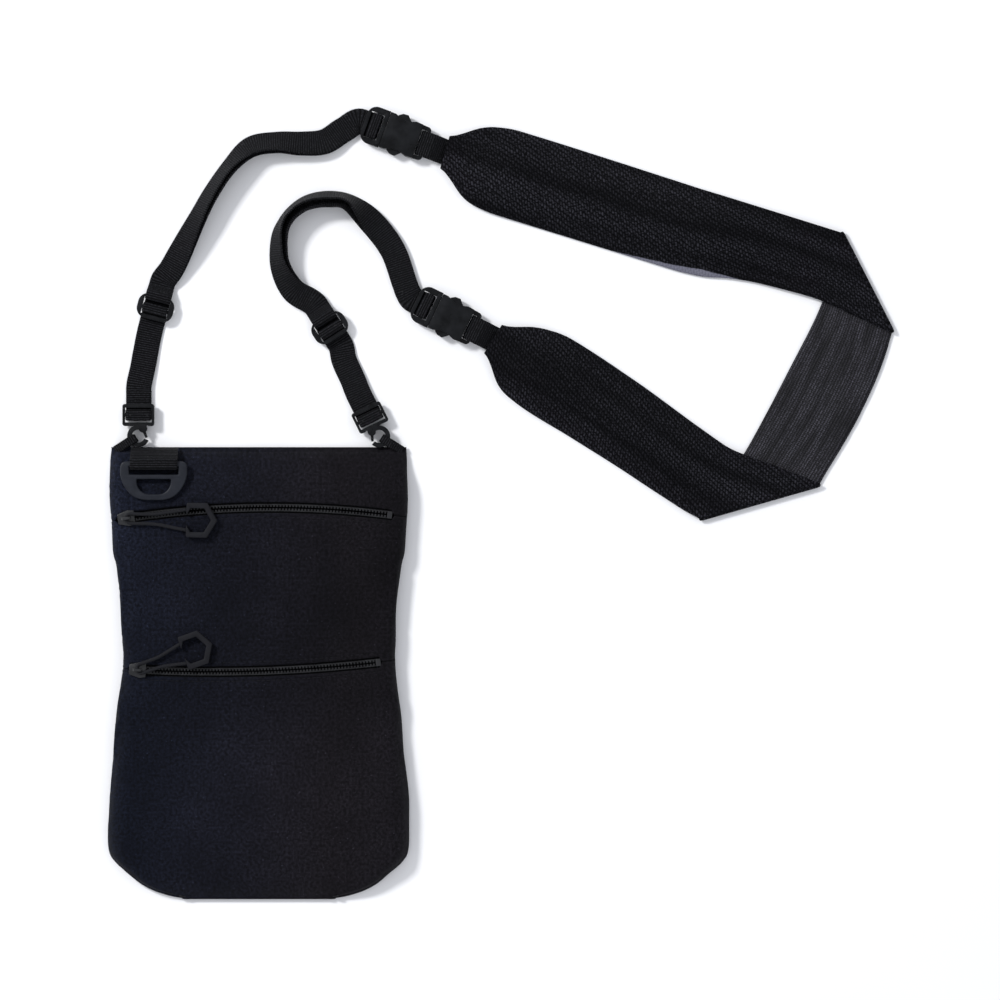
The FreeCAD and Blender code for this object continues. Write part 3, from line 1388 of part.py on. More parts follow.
# Routes of the narrow webbing from hook to buckle, as shares of the straight line between them:
# along it, to its left, and the webbing's tilt in degrees. The oval slider stands at the marked row.
LEFT_ROUTE_SHARES = [
    (0.105, 0.076, 0.0),
    (0.245, 0.152, 0.0),
    (0.356, 0.199, -12.0),
    (0.481, 0.237, -52.0),
    (0.572, 0.253, -62.0),
    (0.661, 0.252, -60.0),
    (0.735, 0.238, -52.0),
    (0.797, 0.204, -40.0),
    (0.844, 0.162, -26.0),
    (0.890, 0.129, -12.0),
    (0.939, 0.104, -2.0),
]
LEFT_OVAL_ROW = 1
RIGHT_ROUTE_SHARES = [
    (0.186, 0.277, 0.0),
    (0.280, 0.415, 0.0),
    (0.441, 0.649, 0.0),
    (0.585, 1.037, -25.0),
    (0.676, 1.232, -48.0),
    (0.814, 1.388, -57.0),
    (0.955, 1.451, -60.0),
    (1.112, 1.438, -61.0),
    (1.245, 1.348, -57.0),
    (1.317, 1.207, -45.0),
    (1.329, 1.048, -25.0),
    (1.275, 0.806, -6.0),
    (1.164, 0.579, 0.0),
    (1.018, 0.363, 0.0),
    (0.986, 0.280, 0.0),
]
RIGHT_OVAL_ROW = 2


def route_points(start, end, shares):
    """Places and tilts of a route laid out between two fittings."""
    line = end - start
    left = leftwards(line)
    return [(start + line * along + left * beside, tilt) for along, beside, tilt in shares]


def band_section(place_at, direction, tilt, level, offset):
    """Rectangle of the narrow webbing across its route, tilted about it."""
    angle = math.radians(tilt)
    across = leftwards(direction) * math.cos(angle) + UP * math.sin(angle)
    normal = leftwards(direction) * -math.sin(angle) + UP * math.cos(angle)
    centre = Vector(place_at.x, place_at.y, level) + normal * offset
    half_wide = across * (mm("web_width") / 2 - mm("web_ease"))
    half_thick = normal * (mm("web_sheet") / 2 - mm("web_ease"))
    ring = [
        centre - half_wide - half_thick,
        centre + half_wide - half_thick,
        centre + half_wide + half_thick,
        centre - half_wide + half_thick,
    ]
    return Part.makePolygon(ring + [ring[0]])


def eased(values, span, share):
    """A number on a smooth curve through a row of numbers, past the first and before the last."""
    before, start, end, after = values[span : span + 4]
    pull = (end - before) * 0.5
    push = (after - start) * 0.5
    square = share * share
    cube = square * share
    return (
        start * (2 * cube - 3 * square + 1)
        + pull * (cube - 2 * square + share)
        + end * (3 * square - 2 * cube)
        + push * (cube - square)
    )


ROUTE_STEPS = 4


def smooth_route(points, tilts, levels, first_way, last_way):
    """Places, tilts and heights close together on a smooth curve through the given ones."""
    first_pull = first_way * (points[1] - points[0]).Length
    last_pull = last_way * (points[-1] - points[-2]).Length
    laid = [points[1] - first_pull * 2] + points + [points[-2] + last_pull * 2]
    turned = [tilts[0]] + tilts + [tilts[-1]]
    raised = [levels[0]] + levels + [levels[-1]]
    places = []
    for span in range(len(points) - 1):
        for step in range(ROUTE_STEPS):
            share = step / ROUTE_STEPS
            spot = Vector(
                eased([p.x for p in laid], span, share), eased([p.y for p in laid], span, share), 0
            )
            places.append((spot, eased(turned, span, share), eased(raised, span, share)))
    places.append((points[-1], tilts[-1], levels[-1]))
    return places


def laid_band(points, tilts, levels, first_turn, last_turn, offset):
    """Webbing laid on a smooth curve through points, its ends set into the straight runs."""
    flat = [Vector(p.x, p.y, 0) for p in points]
    first_way = heading(first_turn)
    last_way = heading(last_turn)
    places = smooth_route(flat, tilts, levels, first_way, last_way)
    ways = [first_way]
    ways += [(a[0] - b[0]).normalize() for a, b in zip(places[2:], places)]
    ways.append(last_way)
    inset = mm("web_sheet") * 2
    spot, tilt, level = places[0]
    sections = [band_section(spot - first_way * inset, first_way, tilt, level, offset)]
    for (spot, tilt, level), way in zip(places, ways):
        sections.append(band_section(spot, way, tilt, level, offset))
    sections.append(band_section(spot + last_way * inset, last_way, tilt, level, offset))
    return Part.makeLoft(sections, True, True)


def make_narrow_webbing(tag, hook_spot, hook_turn, mouth, buckle_turn, shares, oval_row):
    """One length of narrow webbing: woven through the hook's ladder frame, led through the oval
    slider, round the plug's bar and back to the slider's end bar, where its end is sewn."""
    sheet_size = mm("web_sheet")
    lead = mm("lead_length")
    lead_in = mm("lead_in")
    frame_out = mm("frame_length") / 2
    hook_exit = hook_spot + heading(hook_turn) * (frame_out + mm("tail_length") + mm("web_gap"))
    plug_exit = mouth + heading(buckle_turn) * (mm("plug_loop") + mm("plug_lead"))
    route = route_points(hook_spot, mouth, shares)
    oval_at, _ = route[oval_row]
    beyond, _ = route[oval_row + 1]
    behind, _ = route[oval_row - 1]
    oval_turn = math.degrees(math.atan2(beyond.y - behind.y, beyond.x - behind.x))
    oval_in = oval_at - heading(oval_turn) * lead_in
    oval_out = oval_at + heading(oval_turn) * lead

    # Weave in the ladder frame: under the first bar, over the middle bar, back underneath
    level = frame_level
    slot_middle = (mm("frame_length") / 2 - mm("frame_bar") * 1.5) / 2 + mm("frame_bar") / 2
    crest = over(level, mm("frame_sheet")) - level
    exit_x = frame_out + mm("tail_length") + mm("web_gap")
    weave = [
        (exit_x, layer_two - level),
        (slot_middle, layer_two - level),
        (slot_middle, crest),
        (-slot_middle, crest),
        (-slot_middle, layer_one - level),
        (frame_out + mm("tail_length"), layer_one - level),
    ]
    solids = [set_down(folded_band(weave, mm("web_bend"), sheet_size, mm("web_width")),
                       hook_spot, hook_turn)]

    # Running layer through the oval slider, and the sewn end round its end bar
    level = oval_level
    crest = over(level, mm("oval_sheet")) - level
    first = -mm("oval_length") / 2 + mm("oval_bar") + mm("oval_first_slot") / 2
    inside = mm("web_gap") + sheet_size / 2
    second = -mm("oval_length") / 2 + 2 * mm("oval_bar") + mm("oval_first_slot") + inside
    last = mm("oval_length") / 2 - mm("oval_bar") - inside
    running = [
        (-lead_in, layer_one - level),
        (first, layer_one - level),
        (first, crest),
        (second, crest),
        (second, layer_one - level),
        (lead, layer_one - level),
    ]
    outer = mm("oval_length") / 2
    seam_end = outer + mm("seam_length")
    sewn = [
        (lead, layer_two - level),
        (seam_end, layer_two - level),
        (outer + mm("end_turn"), crest),
        (last, crest),
        (last, layer_two - level),
        (outer + sheet_size, layer_two - level),
    ]
    seam = [(outer, layer_two - level), (seam_end, layer_two - level)]
    spot = Vector(oval_at.x, oval_at.y, level)
    for path in (running, sewn, seam):
        band = folded_band(path, mm("web_bend"), sheet_size, mm("web_width"))
        solids.append(set_down(band, spot, oval_turn))

    # Round the plug's bar: in through the eye, over the bar, back through the slot
    level = buckle_level
    crest = over(level, mm("plug_sheet")) - level
    bar_start = mm("shoulder_gap") + mm("shoulder_length") + mm("plug_slot")
    eye_middle = (bar_start + mm("plug_bar") + mm("plug_loop") - mm("plug_rim")) / 2
    slot_middle = bar_start - mm("plug_slot") / 2
    exit_x = mm("plug_loop") + mm("plug_lead")
    wrap = [
        (exit_x, layer_two - level),
        (eye_middle, layer_two - level),
        (eye_middle, crest),
        (slot_middle, crest),
        (slot_middle, layer_one - level),
        (exit_x, layer_one - level),
    ]
    solids.append(set_down(folded_band(wrap, mm("web_bend"), sheet_size, mm("web_width")),
                           mouth, buckle_turn))

    # Single layer from the hook to the slider
    points = [hook_exit] + [p for p, _ in route[:oval_row]] + [oval_in]
    count = len(points)
    levels = [layer_two + (layer_one - layer_two) * i / (count - 1) for i in range(count)]
    solids.append(laid_band(points, [0.0] * count, levels, hook_turn, oval_turn, 0.0))

    # Two layers from the slider to the plug
    upper = route[oval_row + 1:]
    points = [oval_out] + [p for p, _ in upper] + [plug_exit]
    tilts = [0.0] + [t for _, t in upper] + [0.0]
    levels = []
    for tilt in tilts:
        angle = math.radians(abs(tilt))
        stack = (sheet_size + mm("web_gap") / 2) * math.cos(angle)
        levels.append(mm("floor_gap") + mm("web_width") / 2 * math.sin(angle) + stack)
    step = (sheet_size + mm("web_gap")) / 2
    for offset in (-step, step):
        solids.append(laid_band(points, tilts, levels, oval_turn, buckle_turn + 180, offset))
    whole = solids[0].multiFuse(solids[1:])
    soft_piece(tag + "_webbing", whole)
    return spot, oval_turn


# The whole pouch

make_shell()
make_divider()
for tag, zip_line, park, reach, pull_turn in (
    ("upper", upper_zip, mm("upper_park"), mm("upper_reach"), mm("upper_pull_turn")),
    ("lower", lower_zip, mm("lower_park"), mm("lower_reach"), mm("lower_pull_turn")),
):
    make_zip(tag, zip_line)
    spot, turn = make_slider_body(tag, zip_line, park)
    make_pull(tag, spot, turn, reach, pull_turn)
make_ring_tab()
make_d_ring()
shell_solid = shell_form(0.0)
for tag, side, spot, mouth, buckle_turn, shares, oval_row in (
    ("left", 1, left_hook_spot, left_mouth, left_buckle_turn, LEFT_ROUTE_SHARES, LEFT_OVAL_ROW),
    ("right", -1, right_hook_spot, right_mouth, right_buckle_turn, RIGHT_ROUTE_SHARES,
     RIGHT_OVAL_ROW),
):
    turn = mm(tag + "_hook_turn")
    make_hook(tag, spot, turn, side)
    make_gate(tag, spot, turn, side)
    make_corner_loop(tag, spot, turn, mm(tag + "_loop_turn"), shell_solid)
    oval_spot, oval_turn = make_narrow_webbing(
        tag, spot, turn, mouth, buckle_turn, shares, oval_row
    )
    make_oval(tag, oval_spot, oval_turn)
    make_socket(tag, mouth, buckle_turn)
    make_plug(tag, mouth, buckle_turn)
    make_prong(tag, "left", mouth, buckle_turn, 1)
    make_prong(tag, "right", mouth, buckle_turn, -1)
    tail = mm("socket_length") - mm("tail_bar") / 2
    make_end_tab(tag, mouth - heading(buckle_turn) * tail, buckle_turn)
make_wide_strap()
doc.recompute()

# Check every object before anything is written
nodes = [o for o in doc.Objects if o.TypeId in ("PartDesign::Body", "Part::Feature")]
for item in doc.Objects:
    if "Invalid" in item.State or "Error" in item.State:
        raise RuntimeError("%s failed: %s" % (item.Name, item.State))
for item in nodes:
    if item.Shape.isNull() or not item.Shape.isValid() or not item.Shape.Solids:
        raise RuntimeError("%s has no valid solid" % item.Label)
for item in nodes:
    item.Shape.exportStep("parts/%s.step" % item.Label)
print(len(nodes), "pieces written")
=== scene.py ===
# A vertical pouch on its back, its shoulder strap laid out beside it, seen from straight above.
import json
import math

import bmesh
import bpy
import numpy as np
from mathutils import Matrix, Vector, noise


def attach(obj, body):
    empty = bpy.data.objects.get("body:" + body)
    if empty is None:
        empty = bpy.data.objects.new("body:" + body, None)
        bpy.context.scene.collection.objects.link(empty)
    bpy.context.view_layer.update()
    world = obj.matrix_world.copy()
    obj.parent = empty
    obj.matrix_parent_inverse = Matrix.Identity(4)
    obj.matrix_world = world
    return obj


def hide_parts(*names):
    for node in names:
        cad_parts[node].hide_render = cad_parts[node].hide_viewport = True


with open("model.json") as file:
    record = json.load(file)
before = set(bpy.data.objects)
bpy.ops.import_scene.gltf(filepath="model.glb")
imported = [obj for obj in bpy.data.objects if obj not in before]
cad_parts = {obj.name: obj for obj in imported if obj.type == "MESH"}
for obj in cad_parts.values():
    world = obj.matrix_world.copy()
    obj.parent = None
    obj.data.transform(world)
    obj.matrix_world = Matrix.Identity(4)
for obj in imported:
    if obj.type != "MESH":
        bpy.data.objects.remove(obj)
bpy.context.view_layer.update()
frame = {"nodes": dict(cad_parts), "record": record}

MM = 0.001
SAME_PLACE = 0.000001
UP = Vector((0, 0, 1))
BODY_OF = {}
for body, held in frame["record"]["behaviour"]["bodies"].items():
    for held_node in held:
        BODY_OF[held_node] = body


# Small tools for meshes


def heading(degrees):
    turn = math.radians(degrees)
    return Vector((math.cos(turn), math.sin(turn), 0))


def leftwards(way):
    return Vector((-way.y, way.x, 0))


def placed(name, data):
    """A new object in the scene."""
    thing = bpy.data.objects.new(name, data)
    bpy.context.scene.collection.objects.link(thing)
    return thing


def mesh_piece(name, places, faces, threads=None, sides=None):
    """A mesh from places in millimetres, with thread coordinates in metres at each face corner."""
    mesh = bpy.data.meshes.new(name)
    mesh.from_pydata([tuple(v * MM for v in p) for p in places], [], faces)
    if threads:
        layer = mesh.uv_layers.new(name="threads")
        for polygon, corners in zip(mesh.polygons, threads):
            for loop, (along, across) in zip(polygon.loop_indices, corners):
                layer.data[loop].uv = (along * MM, across * MM)
    if sides:
        mesh.polygons.foreach_set("material_index", sides)
    mesh.polygons.foreach_set("use_smooth", [True] * len(mesh.polygons))
    mesh.update()
    return placed(name, mesh)


def final_mesh(piece):
    """The mesh that a piece's modifiers or curve settings give."""
    graph = bpy.context.evaluated_depsgraph_get()
    graph.update()
    return bpy.data.meshes.new_from_object(piece.evaluated_get(graph))


def made_plain(piece):
    """Replace a piece's modifiers by the mesh that they give."""
    finished = final_mesh(piece)
    finished.name = piece.name
    piece.modifiers.clear()
    piece.data = finished


def rework(mesh, change):
    """Change a mesh by a function that takes it as a bmesh."""
    b = bmesh.new()
    b.from_mesh(mesh)
    change(b)
    b.to_mesh(mesh)
    b.free()


def smooth_below(mesh, degrees):
    """Shade smooth except across edges sharper than the given turn."""
    mesh.polygons.foreach_set("use_smooth", [True] * len(mesh.polygons))
    mesh.set_sharp_from_angle(angle=math.radians(degrees))


def fit_out(piece, node, slot, *finishes, stands_in=True):
    """Give a new piece its materials, a node's body and as a rule that node's place. The slot is
    not used.
    """
    for finish in finishes:
        piece.data.materials.append(finish)
    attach(piece, BODY_OF[node])
    if stands_in:
        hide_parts(node)


# Camera, light and table

VIEW_CENTRE = (0.1446, 0.1038)
VIEW_WIDTH = 0.6
VIEW_HEIGHT = 3.0
SKY_COLOUR, SKY_STRENGTH = (0.93, 0.95, 1.0, 1), 0.82
WINDOW_PLACE, WINDOW_SIZE, WINDOW_POWER = (-1.55, 1.35, 1.9), 0.45, 58
TABLE_REACH = 3.0
TABLE_LEVEL = -0.0004


def set_camera():
    lens = bpy.data.cameras.new("from_above")
    lens.sensor_width = 36
    lens.lens = lens.sensor_width * VIEW_HEIGHT / VIEW_WIDTH
    lens.clip_end = 20
    lens.dof.use_dof = False
    camera = placed("from_above", lens)
    camera.location = (*VIEW_CENTRE, VIEW_HEIGHT)
    bpy.context.scene.camera = camera


def set_light():
    world = bpy.data.worlds.new("studio")
    world.use_nodes = True
    sky = world.node_tree.nodes["Background"].inputs
    sky["Color"].default_value = SKY_COLOUR
    sky["Strength"].default_value = SKY_STRENGTH
    bpy.context.scene.world = world
    bpy.context.scene.view_settings.view_transform = "Standard"
    light = bpy.data.lights.new("window", "AREA")
    light.size = WINDOW_SIZE
    light.energy = WINDOW_POWER
    lamp = placed("window", light)
    lamp.location = WINDOW_PLACE
    aim = Vector((*VIEW_CENTRE, 0)) - Vector(WINDOW_PLACE)
    lamp.rotation_euler = aim.to_track_quat("-Z", "Y").to_euler()


def set_table():
    mesh = bpy.data.meshes.new("table_top")
    x, y = VIEW_CENTRE
    ends = ((-1, -1), (1, -1), (1, 1), (-1, 1))
    corners = [(x + a * TABLE_REACH, y + b * TABLE_REACH, TABLE_LEVEL) for a, b in ends]
    mesh.from_pydata(corners, [], [(0, 1, 2, 3)])
    table = placed("table_top", mesh)
    paper, tree, surface = new_finish("white_paper", 0.9, 0.1)
    place = add(tree, "ShaderNodeTexCoord").outputs["Object"]
    tone = add(tree, "ShaderNodeTexNoise", place, ("Scale", 3.0), ("Detail", 2.0)).outputs[0]
    put(surface.inputs["Base Color"], mixed(tone, (0.86, 0.86, 0.87, 1), (0.9, 0.9, 0.91, 1)))
    mesh.materials.append(paper)


# Small tools for nodes


def put(socket, value):
    """Set a socket to a number or colour, or lead another node's output to it."""
    if isinstance(value, bpy.types.NodeSocket):
        socket.id_data.links.new(value, socket)
    else:
        socket.default_value = value


def add(tree, kind, *inputs, **settings):
    """A node, its settings, and its inputs given in order or as a name and a value."""
    node = tree.nodes.new(kind)
    for name, setting in settings.items():
        setattr(node, name, setting)
    for index, value in enumerate(inputs):
        if isinstance(value, tuple) and isinstance(value[0], str):
            put(node.inputs[value[0]], value[1])
        elif value is not None:
            put(node.inputs[index], value)
    return node


def tree_of(*values):
    """The node tree of the first socket among some values."""
    return next(value.id_data for value in values if isinstance(value, bpy.types.NodeSocket))


def sums(kind, first, second=0.0):
    tree = tree_of(first, second)
    return add(tree, "ShaderNodeMath", first, second, operation=kind).outputs[0]


def times(first, second):
    return sums("MULTIPLY", first, second)


def plus(first, second):
    return sums("ADD", first, second)


def mixed(share, first, second, kind="MIX"):
    """Mix two colours."""
    node = add(tree_of(share, first, second), "ShaderNodeMix", data_type="RGBA", blend_type=kind)
    for index, value in ((0, share), (6, first), (7, second)):
        put(node.inputs[index], value)
    return node.outputs[2]


def between(value, low, high, from_value=0.0, to_value=1.0):
    """A value's place between two limits, as a number between two others."""
    limits = (low, high, from_value, to_value)
    return add(value.id_data, "ShaderNodeMapRange", value, *limits).outputs[0]


def cloudy(place, scale, detail=3.0, rough=0.55):
    settings = (("Scale", scale), ("Detail", detail), ("Roughness", rough))
    return add(place.id_data, "ShaderNodeTexNoise", ("Vector", place), *settings).outputs[0]


def stretched(place, factors):
    return add(place.id_data, "ShaderNodeMapping", place, ("Scale", factors)).outputs[0]


def split(place):
    return add(place.id_data, "ShaderNodeSeparateXYZ", place).outputs[:2]


def new_finish(name, rough, specular, **constants):
    """A material with a Principled shader whose constant sockets are set here."""
    material = bpy.data.materials.new(name)
    material.use_nodes = True
    surface = material.node_tree.nodes["Principled BSDF"]
    surface.inputs["Roughness"].default_value = rough
    surface.inputs["Specular IOR Level"].default_value = specular
    for socket, number in constants.items():
        surface.inputs[socket.replace("_", " ")].default_value = number
    return material, material.node_tree, surface


def colour_and_bump(surface, colour, height, depth):
    """Colour a surface and bump it by a height between 0 and 1, over a depth in metres."""
    put(surface.inputs["Base Color"], colour)
    relief = (("Strength", 1.0), ("Distance", depth), ("Height", height))
    put(surface.inputs["Normal"], add(surface.id_data, "ShaderNodeBump", *relief).outputs[0])


def own_threads(tree):
    """Thread coordinates in millimetres."""
    return stretched(add(tree, "ShaderNodeTexCoord").outputs["UV"], (1000.0,) * 3)


def thread_places(tree, wander):
    """Thread coordinates, slightly uneven as woven cloth is."""
    place = own_threads(tree)
    settings = (("Scale", 0.35), ("Detail", 2.0))
    moved = add(tree, "ShaderNodeTexNoise", ("Vector", place), *settings).outputs[1]
    for kind, value in (("SUBTRACT", (0.5,) * 3), ("MULTIPLY", (wander,) * 3)):
        moved = add(tree, "ShaderNodeVectorMath", moved, value, operation=kind).outputs[0]
    return add(tree, "ShaderNodeVectorMath", place, moved, operation="ADD").outputs[0]


def ridges(value, pitch):
    """Rounded ridges, one for each pitch, and the sign that changes from one to the next."""
    wave = sums("SINE", times(value, math.pi / pitch))
    return sums("ABSOLUTE", wave), wave


def plain_weave(place, along_pitch, across_pitch):
    """Height of a plain weave, where warp and weft take turns on top."""
    along, across = split(place)
    warp, warp_sign = ridges(along, along_pitch)
    weft, weft_sign = ridges(across, across_pitch)
    over = sums("GREATER_THAN", times(warp_sign, weft_sign), 0.0)
    under = sums("SUBTRACT", 1.0, over)
    first = times(warp, between(weft, 0.0, 1.0, 0.5, 1.0))
    second = times(weft, between(warp, 0.0, 1.0, 0.35, 0.8))
    return plus(times(first, over), times(second, under))


def with_lint(colour, place, spacing, size, share, tone):
    """A colour under small specks, one to a cell, in only a share of the cells."""
    settings = (("Scale", 1.0 / spacing), ("Randomness", 1.0))
    cells = add(place.id_data, "ShaderNodeTexVoronoi", ("Vector", place), *settings)
    near = between(cells.outputs["Distance"], size * 1.6, size * 0.6)
    chosen = add(place.id_data, "ShaderNodeSeparateColor", cells.outputs["Color"]).outputs[0]
    specks = times(near, sums("GREATER_THAN", chosen, 1.0 - share))
    return mixed(times(specks, 0.5), colour, tone)


# Finishes


def canvas_finish(name, dark, light, pitch, depth, lint_share):
    """Plain woven cloth with painted highlight on its crests and painted shade in its hollows, with
    lint and slow changes of tone.
    """
    rough = 0.85
    material, tree, surface = new_finish(name, rough, 0.06, Sheen_Weight=0.02, Sheen_Roughness=0.5)
    place = thread_places(tree, pitch * 0.5)
    height = plain_weave(place, pitch, pitch * 0.9)
    grain = cloudy(place, 0.55, 3.0, 0.75)
    # Painted shade and highlight: the colour follows the weave's height, dark in its hollows and
    # light on its crests
    share = times(height, between(grain, 0.38, 0.64, 0.0, 1.2))
    share = times(share, between(cloudy(place, 0.03, 4.0), 0.3, 0.7, 0.55, 1.0))
    colour = mixed(share, dark, light)
    colour = with_lint(colour, place, 3.4, 0.07, lint_share, (0.05, 0.052, 0.06, 1))
    put(surface.inputs["Roughness"], between(grain, 0.3, 0.7, rough - 0.08, rough + 0.08))
    colour_and_bump(surface, colour, height, depth)
    return material


def shell_finish():
    """Pouch cloth: brown-black with a painted sheen towards the left, lighter and darker in
    patches.
    """
    material = canvas_finish(
        "black_canvas", (0.0022, 0.0022, 0.0026, 1), (0.0175, 0.0175, 0.02, 1), 0.8, 0.00018, 0.4
    )
    base = material.node_tree.nodes["Principled BSDF"].inputs["Base Color"]
    woven = base.links[0].from_socket
    place = add(material.node_tree, "ShaderNodeTexCoord").outputs["Object"]
    side, _ = split(place)
    # Lighter and darker patches at random, which also make the painted sheen's edge uneven
    patchy_tone = cloudy(stretched(place, (9.0, 5.0, 9.0)), 1.0, 4.0, 0.6)
    # Painted sheen: the cloth goes bluer towards the left side
    blue = between(plus(side, times(patchy_tone, 0.08)), -0.06, 0.09, 1.0, 0.0)
    painted_sheen_tint = mixed(blue, (1.0, 0.88, 1.0, 1), (0.86, 1.14, 1.95, 1))
    colour = mixed(1.0, woven, painted_sheen_tint, "MULTIPLY")
    lighter = mixed(between(patchy_tone, 0.38, 0.66), (0.8, 0.8, 0.8, 1), (1.6, 1.6, 1.6, 1))
    put(base, mixed(1.0, colour, lighter, "MULTIPLY"))
    return material


def ribbed_finish():
    """Narrow webbing: ribs across it, fine threads along it."""
    material, tree, surface = new_finish(
        "ribbed_webbing", 0.58, 0.06, Sheen_Weight=0.01, Sheen_Roughness=0.4
    )
    place = thread_places(tree, 0.25)
    ribs, _ = ridges(split(place)[0], 1.35)
    height = plus(times(ribs, 0.6), times(plain_weave(place, 1.35, 0.75), 0.4))
    grain = cloudy(place, 1.3, 2.0, 0.7)
    # Painted shade and highlight: darker in the hollows between the ribs, lighter on their tops
    share = times(between(height, 0.35, 0.85), between(grain, 0.42, 0.66, 0.15, 1.0))
    colour = mixed(share, (0.0002, 0.0002, 0.0004, 1), (0.025, 0.0255, 0.03, 1))
    colour = with_lint(colour, place, 4.5, 0.08, 0.35, (0.05, 0.05, 0.052, 1))
    colour_and_bump(surface, colour, height, 0.00035)
    return material


def twill_finish():
    """Face of the wide strap: short steep dashes in slanting rows, uneven and nearly black."""
    material, tree, surface = new_finish(
        "wide_twill", 0.62, 0.045, Sheen_Weight=0.005, Sheen_Roughness=0.4
    )
    pitch = 1.75
    place = thread_places(tree, 0.8)
    along, across = split(place)
    slant = plus(along, times(across, 0.45))
    ridge, _ = ridges(slant, pitch)
    row = sums("FLOOR", sums("DIVIDE", slant, pitch))
    dash, _ = ridges(plus(across, times(row, 0.7)), 2.9)
    height = times(ridge, between(dash, 0.15, 0.7))
    grain = cloudy(place, 0.7, 3.0, 0.75)
    # Painted shade and highlight: darker between the dashes, lighter on them
    share = times(height, between(grain, 0.42, 0.64, 0.05, 1.0))
    # Painted light: slow bands along the strap, lighter where its arch catches the light
    painted_light_bands = cloudy(stretched(place, (0.004, 0.06, 1.0)), 1.0, 2.0, 0.5)
    share = times(share, between(painted_light_bands, 0.4, 0.62, 0.4, 1.5))
    colour = mixed(share, (0.0004, 0.0004, 0.0008, 1), (0.031, 0.0305, 0.038, 1))
    colour = with_lint(colour, place, 4.0, 0.06, 0.3, (0.04, 0.04, 0.045, 1))
    # Painted highlight: a pale strip where the right edge rolls up before the crease, lighter than
    # the strap's back
    growing, ending = between(along, 106, 163, 0.0, 4.6), between(along, 163, 188, 1.0, 0.0)
    inside = sums("SUBTRACT", plus(across, 25.0), times(growing, ending))
    colour = mixed(between(inside, -0.6, 0.0, 1.0, 0.0), colour, (0.15, 0.15, 0.19, 1))
    colour_and_bump(surface, colour, height, 0.0003)
    return material


def twill_back_finish():
    """Back of the wide strap: greyer, with fine stripes along it."""
    material, tree, surface = new_finish(
        "wide_twill_back", 0.52, 0.14, Sheen_Weight=0.02, Sheen_Roughness=0.4
    )
    place = thread_places(tree, 0.4)
    stripe, _ = ridges(split(place)[1], 1.7)
    height = plus(times(stripe, 0.5), times(plain_weave(place, 1.2, 1.7), 0.5))
    grain = cloudy(place, 1.1, 2.0, 0.7)
    # Painted shade and highlight: darker in the weave's hollows, lighter on its stripes
    share = times(between(height, 0.3, 0.8), between(grain, 0.42, 0.64, 0.1, 1.0))
    streaks = cloudy(stretched(place, (0.03, 0.22, 1.0)), 1.0, 3.0, 0.6)
    share = times(share, between(streaks, 0.36, 0.62, 0.2, 1.0))
    colour = mixed(share, (0.0012, 0.0012, 0.002, 1), (0.077, 0.075, 0.093, 1))
    colour_and_bump(surface, colour, height, 0.0003)
    return material


def moulded_finish(name, dark, light, rough, grain_depth, specular):
    """Moulded plastic with a fine grain, faint mottling and handled, glossier patches."""
    material, tree, surface = new_finish(name, rough, specular)
    place = add(tree, "ShaderNodeTexCoord").outputs["Object"]
    grain = cloudy(place, 2600.0, 2.0, 0.6)
    mottle = cloudy(place, 160.0, 3.0, 0.6)
    put(surface.inputs["Roughness"], between(mottle, 0.3, 0.7, rough - 0.08, rough + 0.1))
    colour_and_bump(surface, mixed(between(mottle, 0.3, 0.7), dark, light), grain, grain_depth)
    return material


def cord_finish():
    """Braided cord: two sets of strands crossing at a slant."""
    material, tree, surface = new_finish("braided_cord", 0.55, 0.14, Sheen_Weight=0.02)
    along, across = split(own_threads(tree))
    first, first_sign = ridges(plus(along, across), 0.8)
    second, second_sign = ridges(sums("SUBTRACT", along, across), 0.8)
    over = sums("GREATER_THAN", times(first_sign, second_sign), 0.0)
    height = times(times(first, second), between(over, 0.0, 1.0, 0.7, 1.0))
    # Painted shade and highlight: dark where the strands dip, light where they cross on top
    colour = mixed(height, (0.003, 0.003, 0.0042, 1), (0.018, 0.019, 0.024, 1))
    colour_and_bump(surface, colour, height, 0.0002)
    return material


def thread_finish():
    """Sewing thread, a little shinier and lighter than the cloth."""
    material, tree, surface = new_finish("sewing_thread", 0.55, 0.1)
    place = add(tree, "ShaderNodeTexCoord").outputs["Object"]
    tone = cloudy(place, 900.0, 2.0)
    colour = mixed(tone, (0.003, 0.003, 0.004, 1), (0.012, 0.012, 0.014, 1))
    colour_and_bump(surface, colour, cloudy(place, 5000.0, 1.0), 0.00005)
    return material


set_camera()
set_light()
set_table()

black_canvas = shell_finish()
lining_cloth = canvas_finish(
    "grey_lining", (0.01, 0.01, 0.011, 1), (0.034, 0.034, 0.038, 1), 0.6, 0.00008, 0.1
)
# Zip tape cloth: its own dark colour, made darker still as painted shade in the slots beside the
# zips
shade_darkened_tape_cloth = canvas_finish(
    "zip_tape_weave", (0.0012, 0.0012, 0.0016, 1), (0.0055, 0.0055, 0.0065, 1), 0.5, 0.00008, 0.1
)
ribbed_webbing = ribbed_finish()
wide_twill = twill_finish()
wide_twill_back = twill_back_finish()
